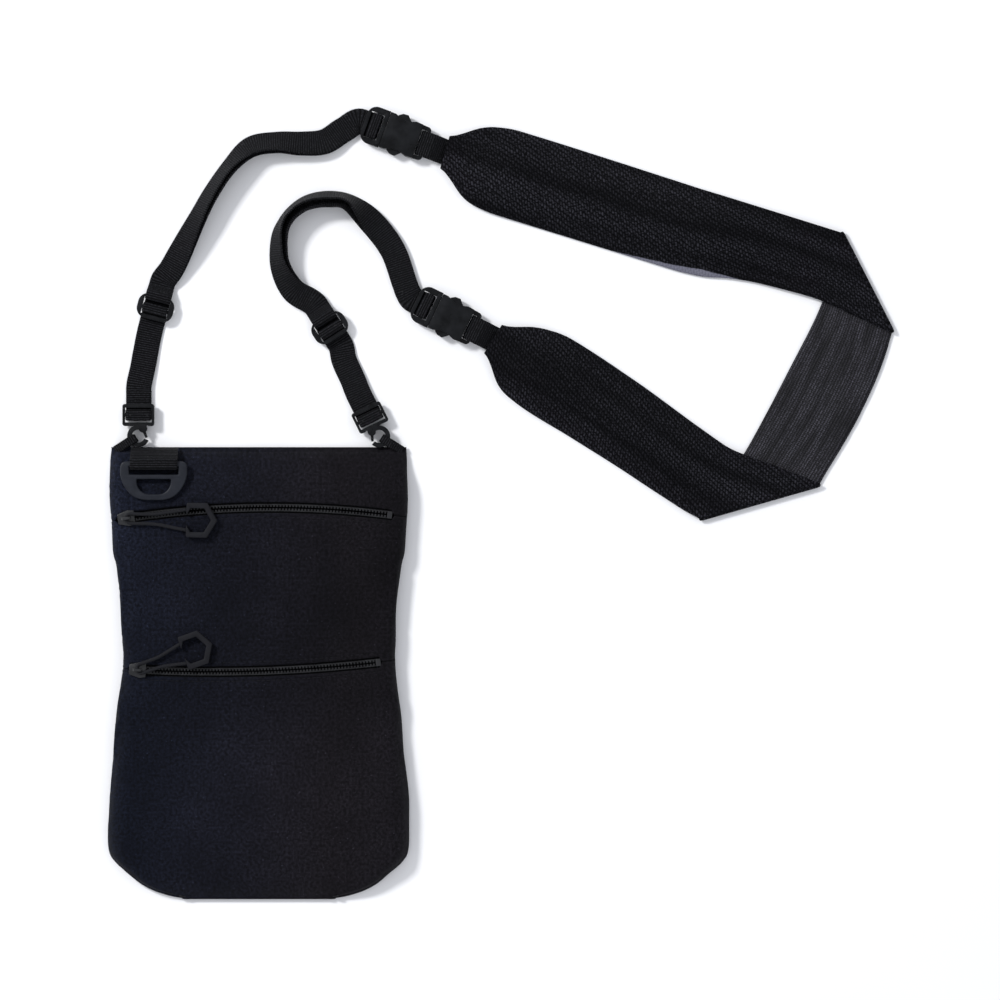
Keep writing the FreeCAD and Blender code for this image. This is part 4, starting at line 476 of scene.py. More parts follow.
# Dark and light tone, roughness, depth of the grain in metres and specular level.
MOULDED = {
    "hard_black_plastic": ((0.0022, 0.0025, 0.003), (0.0072, 0.0078, 0.0092), 0.3, 2e-5, 0.12),
    "slate_ring_plastic": ((0.0085, 0.0098, 0.014), (0.0125, 0.0145, 0.0205), 0.38, 2e-5, 0.16),
    "soft_grey_plastic": ((0.007, 0.0072, 0.0092), (0.0105, 0.0108, 0.0135), 0.55, 3e-5, 0.1),
    "zip_tooth_plastic": ((0.006, 0.006, 0.0068), (0.018, 0.0185, 0.02), 0.32, 1e-5, 0.25),
    "black_enamelled_metal": ((0.004, 0.0043, 0.005), (0.012, 0.0125, 0.0145), 0.24, 1e-5, 0.4),
}
hard_plastic, ring_plastic, soft_plastic, teeth_plastic, black_enamel = (
    moulded_finish(name, (*dark, 1), (*light, 1), *rest)
    for name, (dark, light, *rest) in MOULDED.items()
)
braided_cord = cord_finish()
sewing_thread = thread_finish()


# Pull cords

# The middle line of each pull cord, from one arm of its grip round the slider's bail to the other.
PULL_ROUTES = {
    "upper": [
        (-0.04246, 0.09794, 0.01710), (-0.05033, 0.09699, 0.01710), (-0.06015, 0.09534, 0.01737),
        (-0.07036, 0.09530, 0.01764), (-0.07842, 0.09581, 0.01775), (-0.07857, 0.08981, 0.01775),
        (-0.07050, 0.08981, 0.01764), (-0.06030, 0.08944, 0.01737), (-0.05058, 0.08729, 0.01710),
        (-0.04276, 0.08585, 0.01710),
    ],
    "lower": [
        (-0.04653, 0.01774, 0.01710), (-0.05131, 0.01484, 0.01710), (-0.05838, 0.01033, 0.01737),
        (-0.06631, 0.00721, 0.01764), (-0.07277, 0.00525, 0.01775), (-0.07077, -0.00041, 0.01775),
        (-0.06448, 0.00203, 0.01764), (-0.05641, 0.00476, 0.01737), (-0.04808, 0.00569, 0.01710),
        (-0.04251, 0.00633, 0.01710),
    ],
}
CORD_THICK = 2.0
CORD_SIDES = 16


def smooth_line(points):
    """Places close together on the smooth spline that a route's points control."""
    curve = bpy.data.curves.new("pull_route", "CURVE")
    curve.dimensions = "3D"
    spline = curve.splines.new("NURBS")
    spline.points.add(len(points) - 1)
    for knot, point in zip(spline.points, points):
        knot.co = (*point, 1.0)
    spline.order_u = 3
    spline.use_endpoint_u = True
    spline.resolution_u = 12
    carrier = placed("pull_route", curve)
    line = [v.co.copy() for v in final_mesh(carrier).vertices]
    bpy.data.objects.remove(carrier)
    return line


def make_pull_cord(tag):
    line = smooth_line(PULL_ROUTES[tag])
    radius = CORD_THICK / 2
    places, length = [], []
    for index, spot in enumerate(line):
        gone = length[-1] + (spot - line[index - 1]).length / MM if index else 0.0
        length.append(gone)
        way = (line[min(index + 1, len(line) - 1)] - line[max(index - 1, 0)]).normalized()
        side = UP.cross(way).normalized()
        over = way.cross(side)
        for step in range(CORD_SIDES):
            turn = 2 * math.pi * step / CORD_SIDES
            places.append(spot / MM + (side * math.cos(turn) + over * math.sin(turn)) * radius)
    around = 2 * math.pi * radius / CORD_SIDES
    faces, threads = [], []
    for ring, (near, far) in enumerate(zip(length, length[1:])):
        for step in range(CORD_SIDES):
            a = ring * CORD_SIDES + step
            b = ring * CORD_SIDES + (step + 1) % CORD_SIDES
            faces.append((a, b, b + CORD_SIDES, a + CORD_SIDES))
            low, high = step * around, (step + 1) * around
            threads.append([(near, low), (near, high), (far, high), (far, low)])
    last = (len(line) - 1) * CORD_SIDES
    faces += [tuple(range(CORD_SIDES))[::-1], tuple(range(last, last + CORD_SIDES))]
    threads += [[(end, 0)] * CORD_SIDES for end in (0, gone)]
    piece = mesh_piece(tag + "_braided_pull", places, faces, threads)
    smooth_below(piece.data, 50)
    fit_out(piece, tag + "_pull_cord", "pull_cord", braided_cord)


make_pull_cord("upper")
make_pull_cord("lower")


# Cloth, webbing and tapes


def unit(rows):
    return rows / np.maximum(np.linalg.norm(rows, axis=-1, keepdims=True), 1e-9)


def run_ways(grid, axis):
    """Direction at each place of a grid along one of its axes."""
    steps = unit(np.diff(grid, axis=axis))
    before = np.concatenate([np.take(steps, [0], axis), steps], axis)
    after = np.concatenate([steps, np.take(steps, [-1], axis)], axis)
    return unit(before + after)


def make_cloth(
    name, node, slot, finishes, grid, threads, thick, degrees=60, outside=0.5, edge_share=0.6
):
    """A piece of cloth on a grid of places, its edges rounded, with a finish for face and back.

    The threads are the cloth's own coordinates, along and across. The outside is the share of
    the thickness that lies over the grid.
    """
    rows, cols, _ = grid.shape
    along = run_ways(grid, 0)
    across = run_ways(grid, 1)
    normal = unit(np.cross(along, across))
    thick = np.broadcast_to(thick, (rows, cols))
    share = np.ones(cols)
    share[0] = share[-1] = edge_share
    middle = grid + normal * (thick * (outside - 0.5))[..., None]
    lift = normal * (thick / 2 * share[None, :])[..., None]
    first = middle[:, 0] - across[:, 0] * thick[:, :1] * 0.2
    last = middle[:, -1] + across[:, -1] * thick[:, -1:] * 0.2
    top = middle + lift
    under = (middle - lift)[:, ::-1]
    ring = np.concatenate([top, last[:, None], under, first[:, None]], axis=1)
    seen = np.concatenate([threads, threads[:, -1:], threads[:, ::-1], threads[:, :1]], axis=1)
    count = ring.shape[1]
    faces, corners, sides = [], [], []
    for row in range(rows - 1):
        for spot in range(count):
            after = (spot + 1) % count
            loop = [(row, spot), (row + 1, spot), (row + 1, after), (row, after)]
            faces.append([r * count + k for r, k in loop])
            corners.append([seen[r, k] for r, k in loop])
            sides.append(1 if cols < spot < 2 * cols else 0)
    for row, turned in ((0, False), (rows - 1, True)):
        caps = [(c, c + 1, 2 * cols - 1 - c, 2 * cols - c) for c in range(cols - 1)]
        caps += [(cols - 1, cols, cols + 1), (0, 2 * cols, 2 * cols + 1)]
        for cap in caps:
            cap = cap[::-1] if turned else cap
            faces.append([row * count + k for k in cap])
            corners.append([seen[row, k] for k in cap])
            sides.append(0)
    piece = mesh_piece(name, ring.reshape(-1, 3), faces, corners, sides)
    smooth_below(piece.data, degrees)
    fit_out(piece, node, slot, *finishes)
    return piece


def thread_grid(grid):
    """The cloth's own coordinates from the lengths along its middle and across it."""
    rows, cols, _ = grid.shape
    middle = grid[:, cols // 2]
    gone = np.concatenate([[0], np.cumsum(np.linalg.norm(np.diff(middle, axis=0), axis=1))])
    wide = np.linalg.norm(np.diff(grid, axis=1), axis=2).mean(axis=0)
    beside = np.concatenate([[0], np.cumsum(wide)])
    beside -= beside[-1] / 2
    return np.stack(np.meshgrid(gone, beside, indexing="ij"), axis=2)


def bent_line(points, bend, spacing=1.5):
    """Places along straight runs in an upright plane, each corner rounded."""
    corners = [Vector(p) for p in points]
    line, last = [], corners[0]
    for before, corner, after in zip(corners, corners[1:], corners[2:]):
        back = before - corner
        ahead = after - corner
        turn = math.pi - back.angle(ahead)
        reach = min(bend * math.tan(turn / 2), 0.49 * min(back.length, ahead.length))
        start = corner + back.normalized() * reach
        end = corner + ahead.normalized() * reach
        line += straight_run(last, start, spacing)
        steps = max(3, int(turn / 0.26))
        for step in range(1, steps):
            share = step / steps
            pull = corner * (2 * share * (1 - share))
            line.append(start * (1 - share) ** 2 + pull + end * share**2)
        last = end
    return line + straight_run(last, corners[-1], spacing) + [corners[-1]]


def straight_run(start, end, spacing):
    count = max(1, round((end - start).length / spacing))
    return [start.lerp(end, step / count) for step in range(count)]


def upright_run(points, bend, spot, turn):
    """Stations of webbing that lies over and under bars: places and the way across."""
    way = heading(turn)
    across = leftwards(way)
    return [(Vector(spot) + way * x + UP * z, across) for x, z in bent_line(points, bend)]


def band_grid(stations, half_widths):
    """Grid of places across a band's stations."""
    return np.array([
        [tuple(spot + across * (half * c)) for c in WEB_COLUMNS]
        for (spot, across), half in zip(stations, half_widths)
    ])


def spread_out(stations, least=0.12):
    """Stations without those that lie on top of the one before."""
    kept = [stations[0]]
    for spot, across in stations[1:]:
        if (spot - kept[-1][0]).length > least:
            kept.append((spot, across))
    return kept


WEB_COLUMNS = (-1.0, -0.94, -0.8, -0.4, 0.0, 0.4, 0.8, 0.94, 1.0)
WEB_HALF = 7.35
WEB_SHEET = 1.3
WEB_BEND = 0.95
LAYER_ONE = 0.75
LAYER_TWO = 2.3

# Places and tilts of the narrow webbing between its fittings, in millimetres and degrees.
LEFT_ROUTE = [
    (-69.47, 183.87, 0), (-61.763, 219.026, 0), (-51.2, 244.1, -12), (-37.9, 270.2, -46),
    (-28.3, 288.0, -56), (-17.1, 303.9, -57), (-4.7, 315.2, -40), (11.1, 318.0, -38),
    (25.6, 317.4, -24), (39.4, 318.6, -12), (50.6, 325.6, -2),
]
RIGHT_ROUTE = [
    (56.32, 176.02, 0), (51.2, 187.47, 0), (42.577, 206.997, 0), (20.6, 229.4, -20),
    (12.6, 244.1, -44), (11.9, 260.2, -56), (15.0, 270.2, -67), (21.3, 277.8, -68),
    (30.2, 282.9, -65), (42.0, 284.6, -62), (54.4, 282.4, -60), (68.8, 269.2, -16),
    (80.4, 253.3, 0), (87.1, 234.6, 0), (89.4, 228.4, 0),
]
STRAPS = {
    "left": dict(
        hook=(-72.0, 154.7), hook_turn=90.0, route=LEFT_ROUTE, oval_row=1, oval_turn=75.248,
        mouth=(75.791, 325.564), buckle_turn=160.0, part=0.35, leans=(0.96, 1.04),
    ),
    "right": dict(
        hook=(66.7, 153.2), hook_turn=116.0, route=RIGHT_ROUTE, oval_row=2, oval_turn=122.227,
        mouth=(106.129, 217.162), buckle_turn=154.0, part=1.05, leans=(0.9, 1.14),
    ),
}
FRAME_LEVEL = 4.8
OVAL_LEVEL = 4.5
BUCKLE_LEVEL = 4.7
# The webbing's ways over and under its fittings' bars: places along and heights, from the bar.
HOOK_WEAVE = [(14.6, -4.05), (-2.75, -4.05), (-2.75, 2.5), (2.75, 2.5), (2.75, -2.5), (14.85, -2.5)]
OVAL_WEAVE = [(-11.25, -3.75), (-3.65, -3.75), (-3.65, 2.2), (1.1, 2.2), (1.1, -3.75), (15, -3.75)]
PLUG_WEAVE = [(14.9, -3.95), (4.1, -3.95), (4.1, 2.4), (9.45, 2.4), (9.45, -2.4), (14.9, -2.4)]
SEWN_END = [(15, -2.2), (12.75, -2.2), (8.28, 2.2), (4.2, 2.2), (4.2, -2.2), (8.8, -2.2)]
# Two layers laid as a pair: room under them, half width, half thickness, half their distance.
PAIR_ROOM, PAIR_HALF, PAIR_THICK, PAIR_APART = 0.1, 7.5, 1.425, 0.775
SPAN_STEPS = 14


def smooth_between(values, share):
    """A number on the smooth curve between the two middle ones of four."""
    before, start, end, after = values
    pull = (end - before) * 0.5
    push = (after - start) * 0.5
    square, cube = share * share, share * share * share
    return (start * (2 * cube - 3 * square + 1) + pull * (cube - 2 * square + share)
            + end * (3 * square - 2 * cube) + push * (cube - square))


def laid_stations(points, tilts, levels, first_turn, last_turn, offset):
    """Stations of webbing laid through points; the offset is along its own face."""
    flat = [Vector((x, y, 0)) for x, y in points]
    before = flat[1] - heading(first_turn) * (2 * (flat[1] - flat[0]).length)
    after = flat[-2] + heading(last_turn) * (2 * (flat[-1] - flat[-2]).length)
    knots = [
        (spot.x, spot.y, level, tilt) for spot, level, tilt in zip(
            [before] + flat + [after], [levels[0]] + levels + [levels[-1]],
            [tilts[0]] + tilts + [tilts[-1]],
        )
    ]
    spots = []
    for span in range(len(flat) - 1):
        for step in range(SPAN_STEPS if span < len(flat) - 2 else SPAN_STEPS + 1):
            four = zip(*knots[span:span + 4])
            *place, tilt = (smooth_between(values, step / SPAN_STEPS) for values in four)
            spots.append((Vector(place), tilt))
    stations = []
    for index, (spot, tilt) in enumerate(spots):
        way = spots[min(index + 1, len(spots) - 1)][0] - spots[max(index - 1, 0)][0]
        left = leftwards(Vector((way.x, way.y, 0)).normalized())
        angle = math.radians(tilt)
        across = left * math.cos(angle) + UP * math.sin(angle)
        normal = left * -math.sin(angle) + UP * math.cos(angle)
        stations.append((spot + normal * offset(index / (len(spots) - 1)), across))
    return stations


def narrow_stations(hook, hook_turn, route, oval_row, oval_turn, mouth, buckle_turn, part, leans):
    """The whole length of one narrow webbing, from its loose tail to its sewn end."""
    hook_spot = Vector((*hook, FRAME_LEVEL))
    oval_spot = Vector((*route[oval_row][:2], OVAL_LEVEL))
    mouth_spot = Vector((*mouth, BUCKLE_LEVEL))
    leave = hook_spot + heading(hook_turn) * HOOK_WEAVE[-1][0]
    into = oval_spot + heading(oval_turn) * OVAL_WEAVE[0][0]
    out = oval_spot + heading(oval_turn) * OVAL_WEAVE[-1][0]
    plug = mouth_spot + heading(buckle_turn) * PLUG_WEAVE[0][0]
    single = [leave[:2]] + [p[:2] for p in route[:oval_row]] + [into[:2]]
    count = len(single)
    levels = [LAYER_TWO + (LAYER_ONE - LAYER_TWO) * i / (count - 1) for i in range(count)]
    above = route[oval_row + 1:]
    points = [out[:2]] + [p[:2] for p in above] + [plug[:2]]
    tilts = [0.0] + [float(p[2]) for p in above] + [0.0]
    raised = []
    for tilt in tilts:
        angle = math.radians(abs(tilt))
        raised.append(PAIR_ROOM + PAIR_HALF * math.sin(angle) + PAIR_THICK * math.cos(angle))

    def layer(side, lean):
        leaning = [tilt * lean for tilt in tilts]
        return laid_stations(
            points, leaning, raised, oval_turn, buckle_turn + 180,
            lambda share: side * (PAIR_APART + part * math.sin(math.pi * share) ** 2),
        )

    stations = upright_run(HOOK_WEAVE, WEB_BEND, hook_spot, hook_turn)
    flat = [0.0] * count
    stations += laid_stations(single, flat, levels, hook_turn, oval_turn, lambda share: 0.0)
    stations += upright_run(OVAL_WEAVE, WEB_BEND, oval_spot, oval_turn)
    stations += layer(-1, leans[0])
    turned = upright_run(PLUG_WEAVE, WEB_BEND, mouth_spot, buckle_turn)
    stations += [(spot, across * -1) for spot, across in turned]
    stations += layer(1, leans[1])[::-1]
    stations += upright_run(SEWN_END, WEB_BEND, oval_spot, oval_turn)
    return spread_out(stations)


def ripple(spot, size, seed):
    """A small slow unevenness at a place, in millimetres."""
    return size * noise.noise(Vector(spot) * 0.05 + Vector((seed, 0, 0)))


def make_narrow_webbing(tag):
    stations = narrow_stations(**STRAPS[tag])
    half_widths = [WEB_HALF * (1 + 0.006 * noise.noise(spot * 0.2)) for spot, _ in stations]
    grid = band_grid(stations, half_widths)
    own = thread_grid(grid)
    piece = make_cloth(
        tag + "_narrow_webbing", tag + "_webbing", "narrow_webbing", [ribbed_webbing] * 2,
        grid, own, WEB_SHEET,
    )


# Wide strap

STRAP_LENGTHS = FIRST_LENGTH, SECOND_LENGTH, THIRD_LENGTH = 261.0, 153.0, 185.8
STRAP_HALF = 25.0
STRAP_SHEET = 1.6
FOLD_RADIUS = 1.15
FOLD_LEVEL = 2.05
FOLD_STEPS = 8
# How far each end goes into its tab, half the width there, and the length over which it widens.
TAB_DEPTH, TAB_HALF, TAPER_LONG = 4.6, 9.25, 26.6
# Steps along each stretch, and the threads across the strap from -1 to 1, closer at its edges.
FIRST_ROWS, SECOND_ROWS, THIRD_ROWS = 90, 44, 64
STRAP_COLUMNS = [
    math.sin(math.pi / 2 * even) * 0.35 + even * 0.65
    for even in (-1 + 2 * k / 28 for k in range(29))
]
# Place along a laid stretch from its free end, its arch and its rise to the fold's upper layer.
STRETCH_SHARES = [
    (-0.05, 0.25, 0.0), (0.06, 0.45, 0.0), (0.14, 0.8, 0.0), (0.30, 1.0, 0.0), (0.50, 1.0, 0.0),
    (0.66, 0.75, 0.1), (0.78, 0.3, 0.6), (0.86, 0.0, 1.0), (1.2, 0.0, 1.0),
]
# The arch, the rise near a tab and its length, and the rise to the upper layer of a fold.
ARCH, TAB_RISE, RISE_LONG, UPPER_RISE = 5.5, 2.7, 60, 2.3
# Left and right edge of the laid strap, in millimetres to the left of each stretch's own line.
FIRST_EDGES = [
    (-5, 8.6, -9.2), (0, 11.0, -11.8), (7, 16.4, -18.4), (15, 21.4, -24.8), (30, 24.4, -27.3),
    (60, 24.1, -27.7), (105, 23.1, -28.3), (150, 21.9, -28.9), (165, 21.9, -27.9),
    (180, 21.7, -24.0), (195, 21.5, -22.0), (225, 21.1, -20.8), (237, 21.0, -21.0),
    (284, 21.0, -27.4),
]
SECOND_EDGES = [
    (-18, 26.3, -26.4), (0, 26.3, -22.5), (24, 26.3, -18.9), (32, 27.8, -18.4), (44, 28.9, -18.6),
    (56, 29.5, -19.2), (80, 29.3, -20.2), (92, 28.5, -20.6), (104, 27.5, -21.2), (116, 26.2, -21.8),
    (126, 25.6, -22.5), (150, 25.6, -25.5), (176, 25.6, -30.4),
]
THIRD_EDGES = [
    (-5, 9.0, -9.2), (0, 10.4, -11.0), (7, 15.8, -18.0), (15, 20.3, -23.5), (30, 24.6, -25.4),
    (45, 24.9, -25.5), (60, 24.7, -25.0), (90, 23.5, -25.0), (105, 22.3, -25.2), (120, 21.1, -25.8),
    (135, 20.1, -26.2), (150, 19.2, -26.7), (158, 20.5, -25.8), (180, 25.0, -25.8),
    (208, 29.8, -25.6),
]
EDGE_BLUR = (-5, -2.5, 0, 2.5, 5)
# Ends of the two creases: where the strap's right and left edges meet them.
FIRST_CREASE = (Vector((379.5, 204.2, 0)), Vector((348.9, 264.0, 0)))
SECOND_CREASE = (Vector((336.2, 113.5, 0)), Vector((264.2, 92.9, 0)))


class Stretch:
    """A laid stretch of the wide strap, along a line of its own."""

    def __init__(self, origin, way, edges, length, hump):
        self.origin, self.way, self.edges = Vector(origin), way, np.array(edges)
        self.length, self.hump = length, hump

    def own(self, spot):
        """Place of a spot along and to the left of the line."""
        gap = spot - self.origin
        return gap.dot(self.way), gap.dot(leftwards(self.way))

    def beside(self, x, c):
        """How far to the left a thread lies, c from -1 at the right edge to 1 at the left one."""
        places = self.edges[:, 0]
        left, right = (
            np.mean([np.interp(x + shift, places, self.edges[:, side]) for shift in EDGE_BLUR])
            for side in (1, 2)
        )
        return (left + right) / 2 + c * (left - right) / 2

    def place(self, x, left):
        return self.origin + self.way * x + leftwards(self.way) * left

    def level(self, x, across):
        """Height of the strap's middle, x from the free end, across from -1 to 1."""
        places, bows, rises = np.array(STRETCH_SHARES).T
        bow = ARCH * np.interp(x / self.length, places, bows)
        bow *= 1 + self.hump * math.exp(-(((x / self.length - 0.62) / 0.14) ** 2))
        rise = np.interp(x / self.length, places, rises)
        near_tab = TAB_RISE * max(0.0, 1 - max(x, 0.0) / RISE_LONG)
        low = 0.1 + max(near_tab, UPPER_RISE * rise)
        return low + bow * (1 - across**2) + STRAP_SHEET / 2


FIRST = Stretch((116.1, 311.2, 0), heading(-16.4), FIRST_EDGES, FIRST_LENGTH, 0.6)
SECOND = Stretch((366.481, 237.509, 0), heading(-115.1), SECOND_EDGES, SECOND_LENGTH, 0.0)
THIRD = Stretch((144.356, 197.965, 0), heading(147.8) * -1, THIRD_EDGES, THIRD_LENGTH, 0.0)


def taper_half(x):
    """Half width of the strap near a free end, the shoulders a little rounded."""
    straight = TAB_HALF + (STRAP_HALF - TAB_HALF) * (x + TAB_DEPTH) / TAPER_LONG
    over = straight - STRAP_HALF
    return STRAP_HALF + 0.5 * (over - math.sqrt(over * over + 1.2))


def crease_place(crease, c):
    return crease[0].lerp(crease[1], (c + 1) / 2)


def free_row(stretch, crease, side, seed, ripples_from, share):
    """A row of an upper stretch, at a share of the way from its free end to its crease."""
    places, own = [], []
    for c in STRAP_COLUMNS:
        end, last = stretch.own(crease_place(crease, c))
        x = -TAB_DEPTH + (end + TAB_DEPTH) * share
        t = c * min(STRAP_HALF, taper_half(x))
        left = stretch.beside(x, side * c)
        left += (last - stretch.beside(end, side * c)) * share**4
        spot = stretch.place(x, left)
        z = stretch.level(x, t / STRAP_HALF)
        uneven = min(1, max(ripples_from, x) / 40) * max(0, 1 - share**6)
        z += abs(ripple(spot, 0.5, seed)) * uneven
        places.append(tuple(spot + UP * z))
        own.append((x, t))
    return places, own


def lower_row(share):
    """A row of the stretch that lies under the others with its back upwards."""
    places, own = [], []
    for c in STRAP_COLUMNS:
        near, first = SECOND.own(crease_place(FIRST_CREASE, c))
        far, last = SECOND.own(crease_place(SECOND_CREASE, c))
        x = near + (far - near) * share
        left = SECOND.beside(x, -c)
        left += (first - SECOND.beside(near, -c)) * (1 - share) ** 4
        left += (last - SECOND.beside(far, -c)) * share**4
        spot = SECOND.place(x, left)
        z = 0.9 + abs(ripple(spot, 0.9, 9.0)) * math.sin(math.pi * share) ** 2
        places.append(tuple(spot + UP * z))
        own.append((FIRST_LENGTH + x, STRAP_HALF * c))
    return places, own


def make_wide_strap():
    rows = [free_row(FIRST, FIRST_CREASE, 1, 3.0, -TAB_DEPTH, k / FIRST_ROWS)
            for k in range(FIRST_ROWS + 1)]
    rows += fold_rows(rows[-1], FIRST.way, SECOND.way, 1)
    rows += [lower_row(k / SECOND_ROWS) for k in range(SECOND_ROWS + 1)]
    rows += fold_rows(rows[-1], SECOND.way, THIRD.way * -1, -1)
    for k in range(THIRD_ROWS + 1):
        places, own = free_row(THIRD, SECOND_CREASE, -1, 5.0, 0.0, 1 - k / THIRD_ROWS)
        rows.append((places, [(sum(STRAP_LENGTHS) - x, t) for x, t in own]))
    grid, threads = (np.array(part) for part in zip(*rows))
    piece = make_cloth(
        "wide_shoulder_strap", "wide_strap", "wide_webbing", [wide_twill, wide_twill_back],
        grid, threads, STRAP_SHEET,
    )


def fold_rows(row, way_in, way_out, side):
    """Rows of the half turn round a crease, between the upper and the lower layer."""
    away = leftwards((way_in + way_out).normalized())
    if away.dot(way_in) < 0:
        away = away * -1
    places, threads = row
    rows = []
    for step in range(1, FOLD_STEPS):
        turn = math.pi * step / FOLD_STEPS
        level = FOLD_LEVEL + side * FOLD_RADIUS * math.cos(turn)
        out = away * (FOLD_RADIUS * math.sin(turn))
        rows.append((
            [(x + out.x, y + out.y, level) for x, y, _ in places],
            [(s + FOLD_RADIUS * turn * 0.5, t) for s, t in threads],
        ))
    return rows


# Short tabs and loops

END_TAB_WEAVE = [
    (-37, -2.825), (-13, -2.825), (-4.4, 2.3), (3.4, 2.3), (3.4, -2.3), (-2, -2.3), (-10.4, -4.05),
    (-37, -4.05),
]
CORNER_WEAVE = [(16.2, -0.6), (8.2, 3.05), (2.06, 3.05), (2.06, -3.05), (8.2, -3.05), (16.2, -1.8)]
RING_TAB_WEAVE = [
    (134.5, 6.5), (134.5, 9.2), (128.1, 19.32), (122.4, 19.32), (122.4, 13.52), (130.15, 10.1),
]
RING_TAB_X = -62
# Distances from a buckle's mouth to its socket's bar, and from a hook's ladder to its ring.
SOCKET_REACH, RING_REACH = 25.2, 12.6


def make_short_band(node, weave, spot, turn, bend, half, thick, changed=None):
    stations = spread_out(upright_run(weave, bend, spot, turn))
    if changed:
        stations = changed(stations)
    grid = band_grid(stations, [half] * len(stations))
    own = thread_grid(grid)
    piece = make_cloth(
        node + "_webbing", node, "narrow_webbing", [ribbed_webbing] * 2, grid, own, thick
    )


def make_end_tab(tag):
    mouth, turn = STRAPS[tag]["mouth"], STRAPS[tag]["buckle_turn"]
    bar = Vector((*mouth, BUCKLE_LEVEL)) - heading(turn) * SOCKET_REACH
    make_short_band(
        tag + "_end_tab", END_TAB_WEAVE, bar, turn, bend=0.825, half=7.4, thick=1.1
    )


def make_corner_loop(tag, loop_turn):
    hook, turn = STRAPS[tag]["hook"], STRAPS[tag]["hook_turn"]
    ring = Vector((*hook, FRAME_LEVEL)) - heading(turn) * RING_REACH
    node = tag + "_corner_loop"
    make_short_band(node, CORNER_WEAVE, ring, loop_turn, bend=0.85, half=2.45, thick=1.2)


def tab_ridges(stations):
    """Three ridges across the tab where it slopes down from the ring to the top edge."""
    raised = []
    for index, (spot, across) in enumerate(stations):
        share = (134.3 - spot.y) / 8.5
        lift = 0.0
        if 0 < share < 1 and index < len(stations) / 2:
            lift = 0.6 * math.sin(3 * math.pi * share) ** 2
        raised.append((spot + Vector((0, 0.5, 0.86)) * lift, across))
    return raised


make_narrow_webbing("left")
make_narrow_webbing("right")
make_wide_strap()
make_end_tab("left")
make_end_tab("right")
make_corner_loop("left", -148.0)
make_corner_loop("right", -32.0)
make_short_band(
    "d_ring_tab", RING_TAB_WEAVE, (RING_TAB_X, 0, 0), 90, bend=0.96, half=13.9, thick=1.2,
    changed=tab_ridges,
)


# D-ring

RING_HINGE = (-62.0, 125.3, 16.424)
RING_TIP = 1.262
RING_SHEET = 3.2
RING_EDGE = 0.75
OUTLINE_STEPS = 5
# Right halves of the ring's outline, eye and slot, from the hinge bar's middle, in millimetres.
RING_OUTLINE = [
    (0, 1.4), (12.0, 1.4), (17.0, 1.35), (19.3, 0.0), (20.0, -3.2), (19.8, -7.0), (18.4, -11.6),
    (15.4, -16.4), (11.4, -19.8), (6.2, -21.4), (0, -21.6),
]
RING_EYE = [
    (0, -9.1), (6.0, -9.1), (9.6, -9.15), (10.2, -9.7), (9.9, -12.4), (8.2, -15.6), (5.0, -17.7),
    (0, -18.1),
]
RING_SLOT = [
    (0, -1.4), (12.0, -1.4), (14.4, -1.5), (14.7, -2.0), (14.7, -5.7), (14.4, -6.2), (12.0, -6.3),
    (0, -6.3),
]


def closed_outline(half_points):
    """Places on a smooth closed line through a half outline and its mirror image."""
    points = half_points + [(-x, y) for x, y in half_points[-2:0:-1]]
    count = len(points)
    line = []
    for k in range(count):
        four = [points[(k + d) % count] for d in (-1, 0, 1, 2)]
        for step in range(OUTLINE_STEPS):
            line.append([smooth_between(values, step / OUTLINE_STEPS) for values in zip(*four)])
    return line


def joined(b):
    """Join what lies in one place, and turn all faces outwards."""
    bmesh.ops.remove_doubles(b, verts=b.verts, dist=SAME_PLACE)
    bmesh.ops.recalc_face_normals(b, faces=b.faces)


def make_d_ring():
    """A flat moulded D with rounded edges: hinge bar, slot for the tab, cross bar and eye."""
    plate = bpy.data.curves.new("ring_plate", "CURVE")
    plate.dimensions = "2D"
    plate.fill_mode = "BOTH"
    for outline in (RING_OUTLINE, RING_EYE, RING_SLOT):
        places = closed_outline(outline)
        spline = plate.splines.new("POLY")
        spline.points.add(len(places) - 1)
        for knot, (x, y) in zip(spline.points, places):
            knot.co = (x * MM, y * MM, 0, 1)
        spline.use_cyclic_u = True
    plate.offset = -RING_EDGE * MM
    plate.extrude = (RING_SHEET / 2 - RING_EDGE) * MM
    plate.bevel_depth = RING_EDGE * MM
    plate.bevel_resolution = 3
    carrier = placed("ring_plate", plate)
    piece = placed("moulded_d_ring", final_mesh(carrier))
    bpy.data.objects.remove(carrier)
    tip = Matrix.Rotation(math.radians(-RING_TIP), 4, "X")
    piece.data.transform(Matrix.Translation(Vector(RING_HINGE) * MM) @ tip)
    rework(piece.data, joined)
    piece.data.materials.clear()
    smooth_below(piece.data, 50)
    fit_out(piece, "d_ring", "hard_plastic", ring_plastic)


make_d_ring()


# Pouch shell

HALF_HEIGHT = 135.0
HALF_WIDTH = 89.8
FRONT_HEIGHT = 15.0
BELLY_RISE = 3.5
FABRIC = 1.2
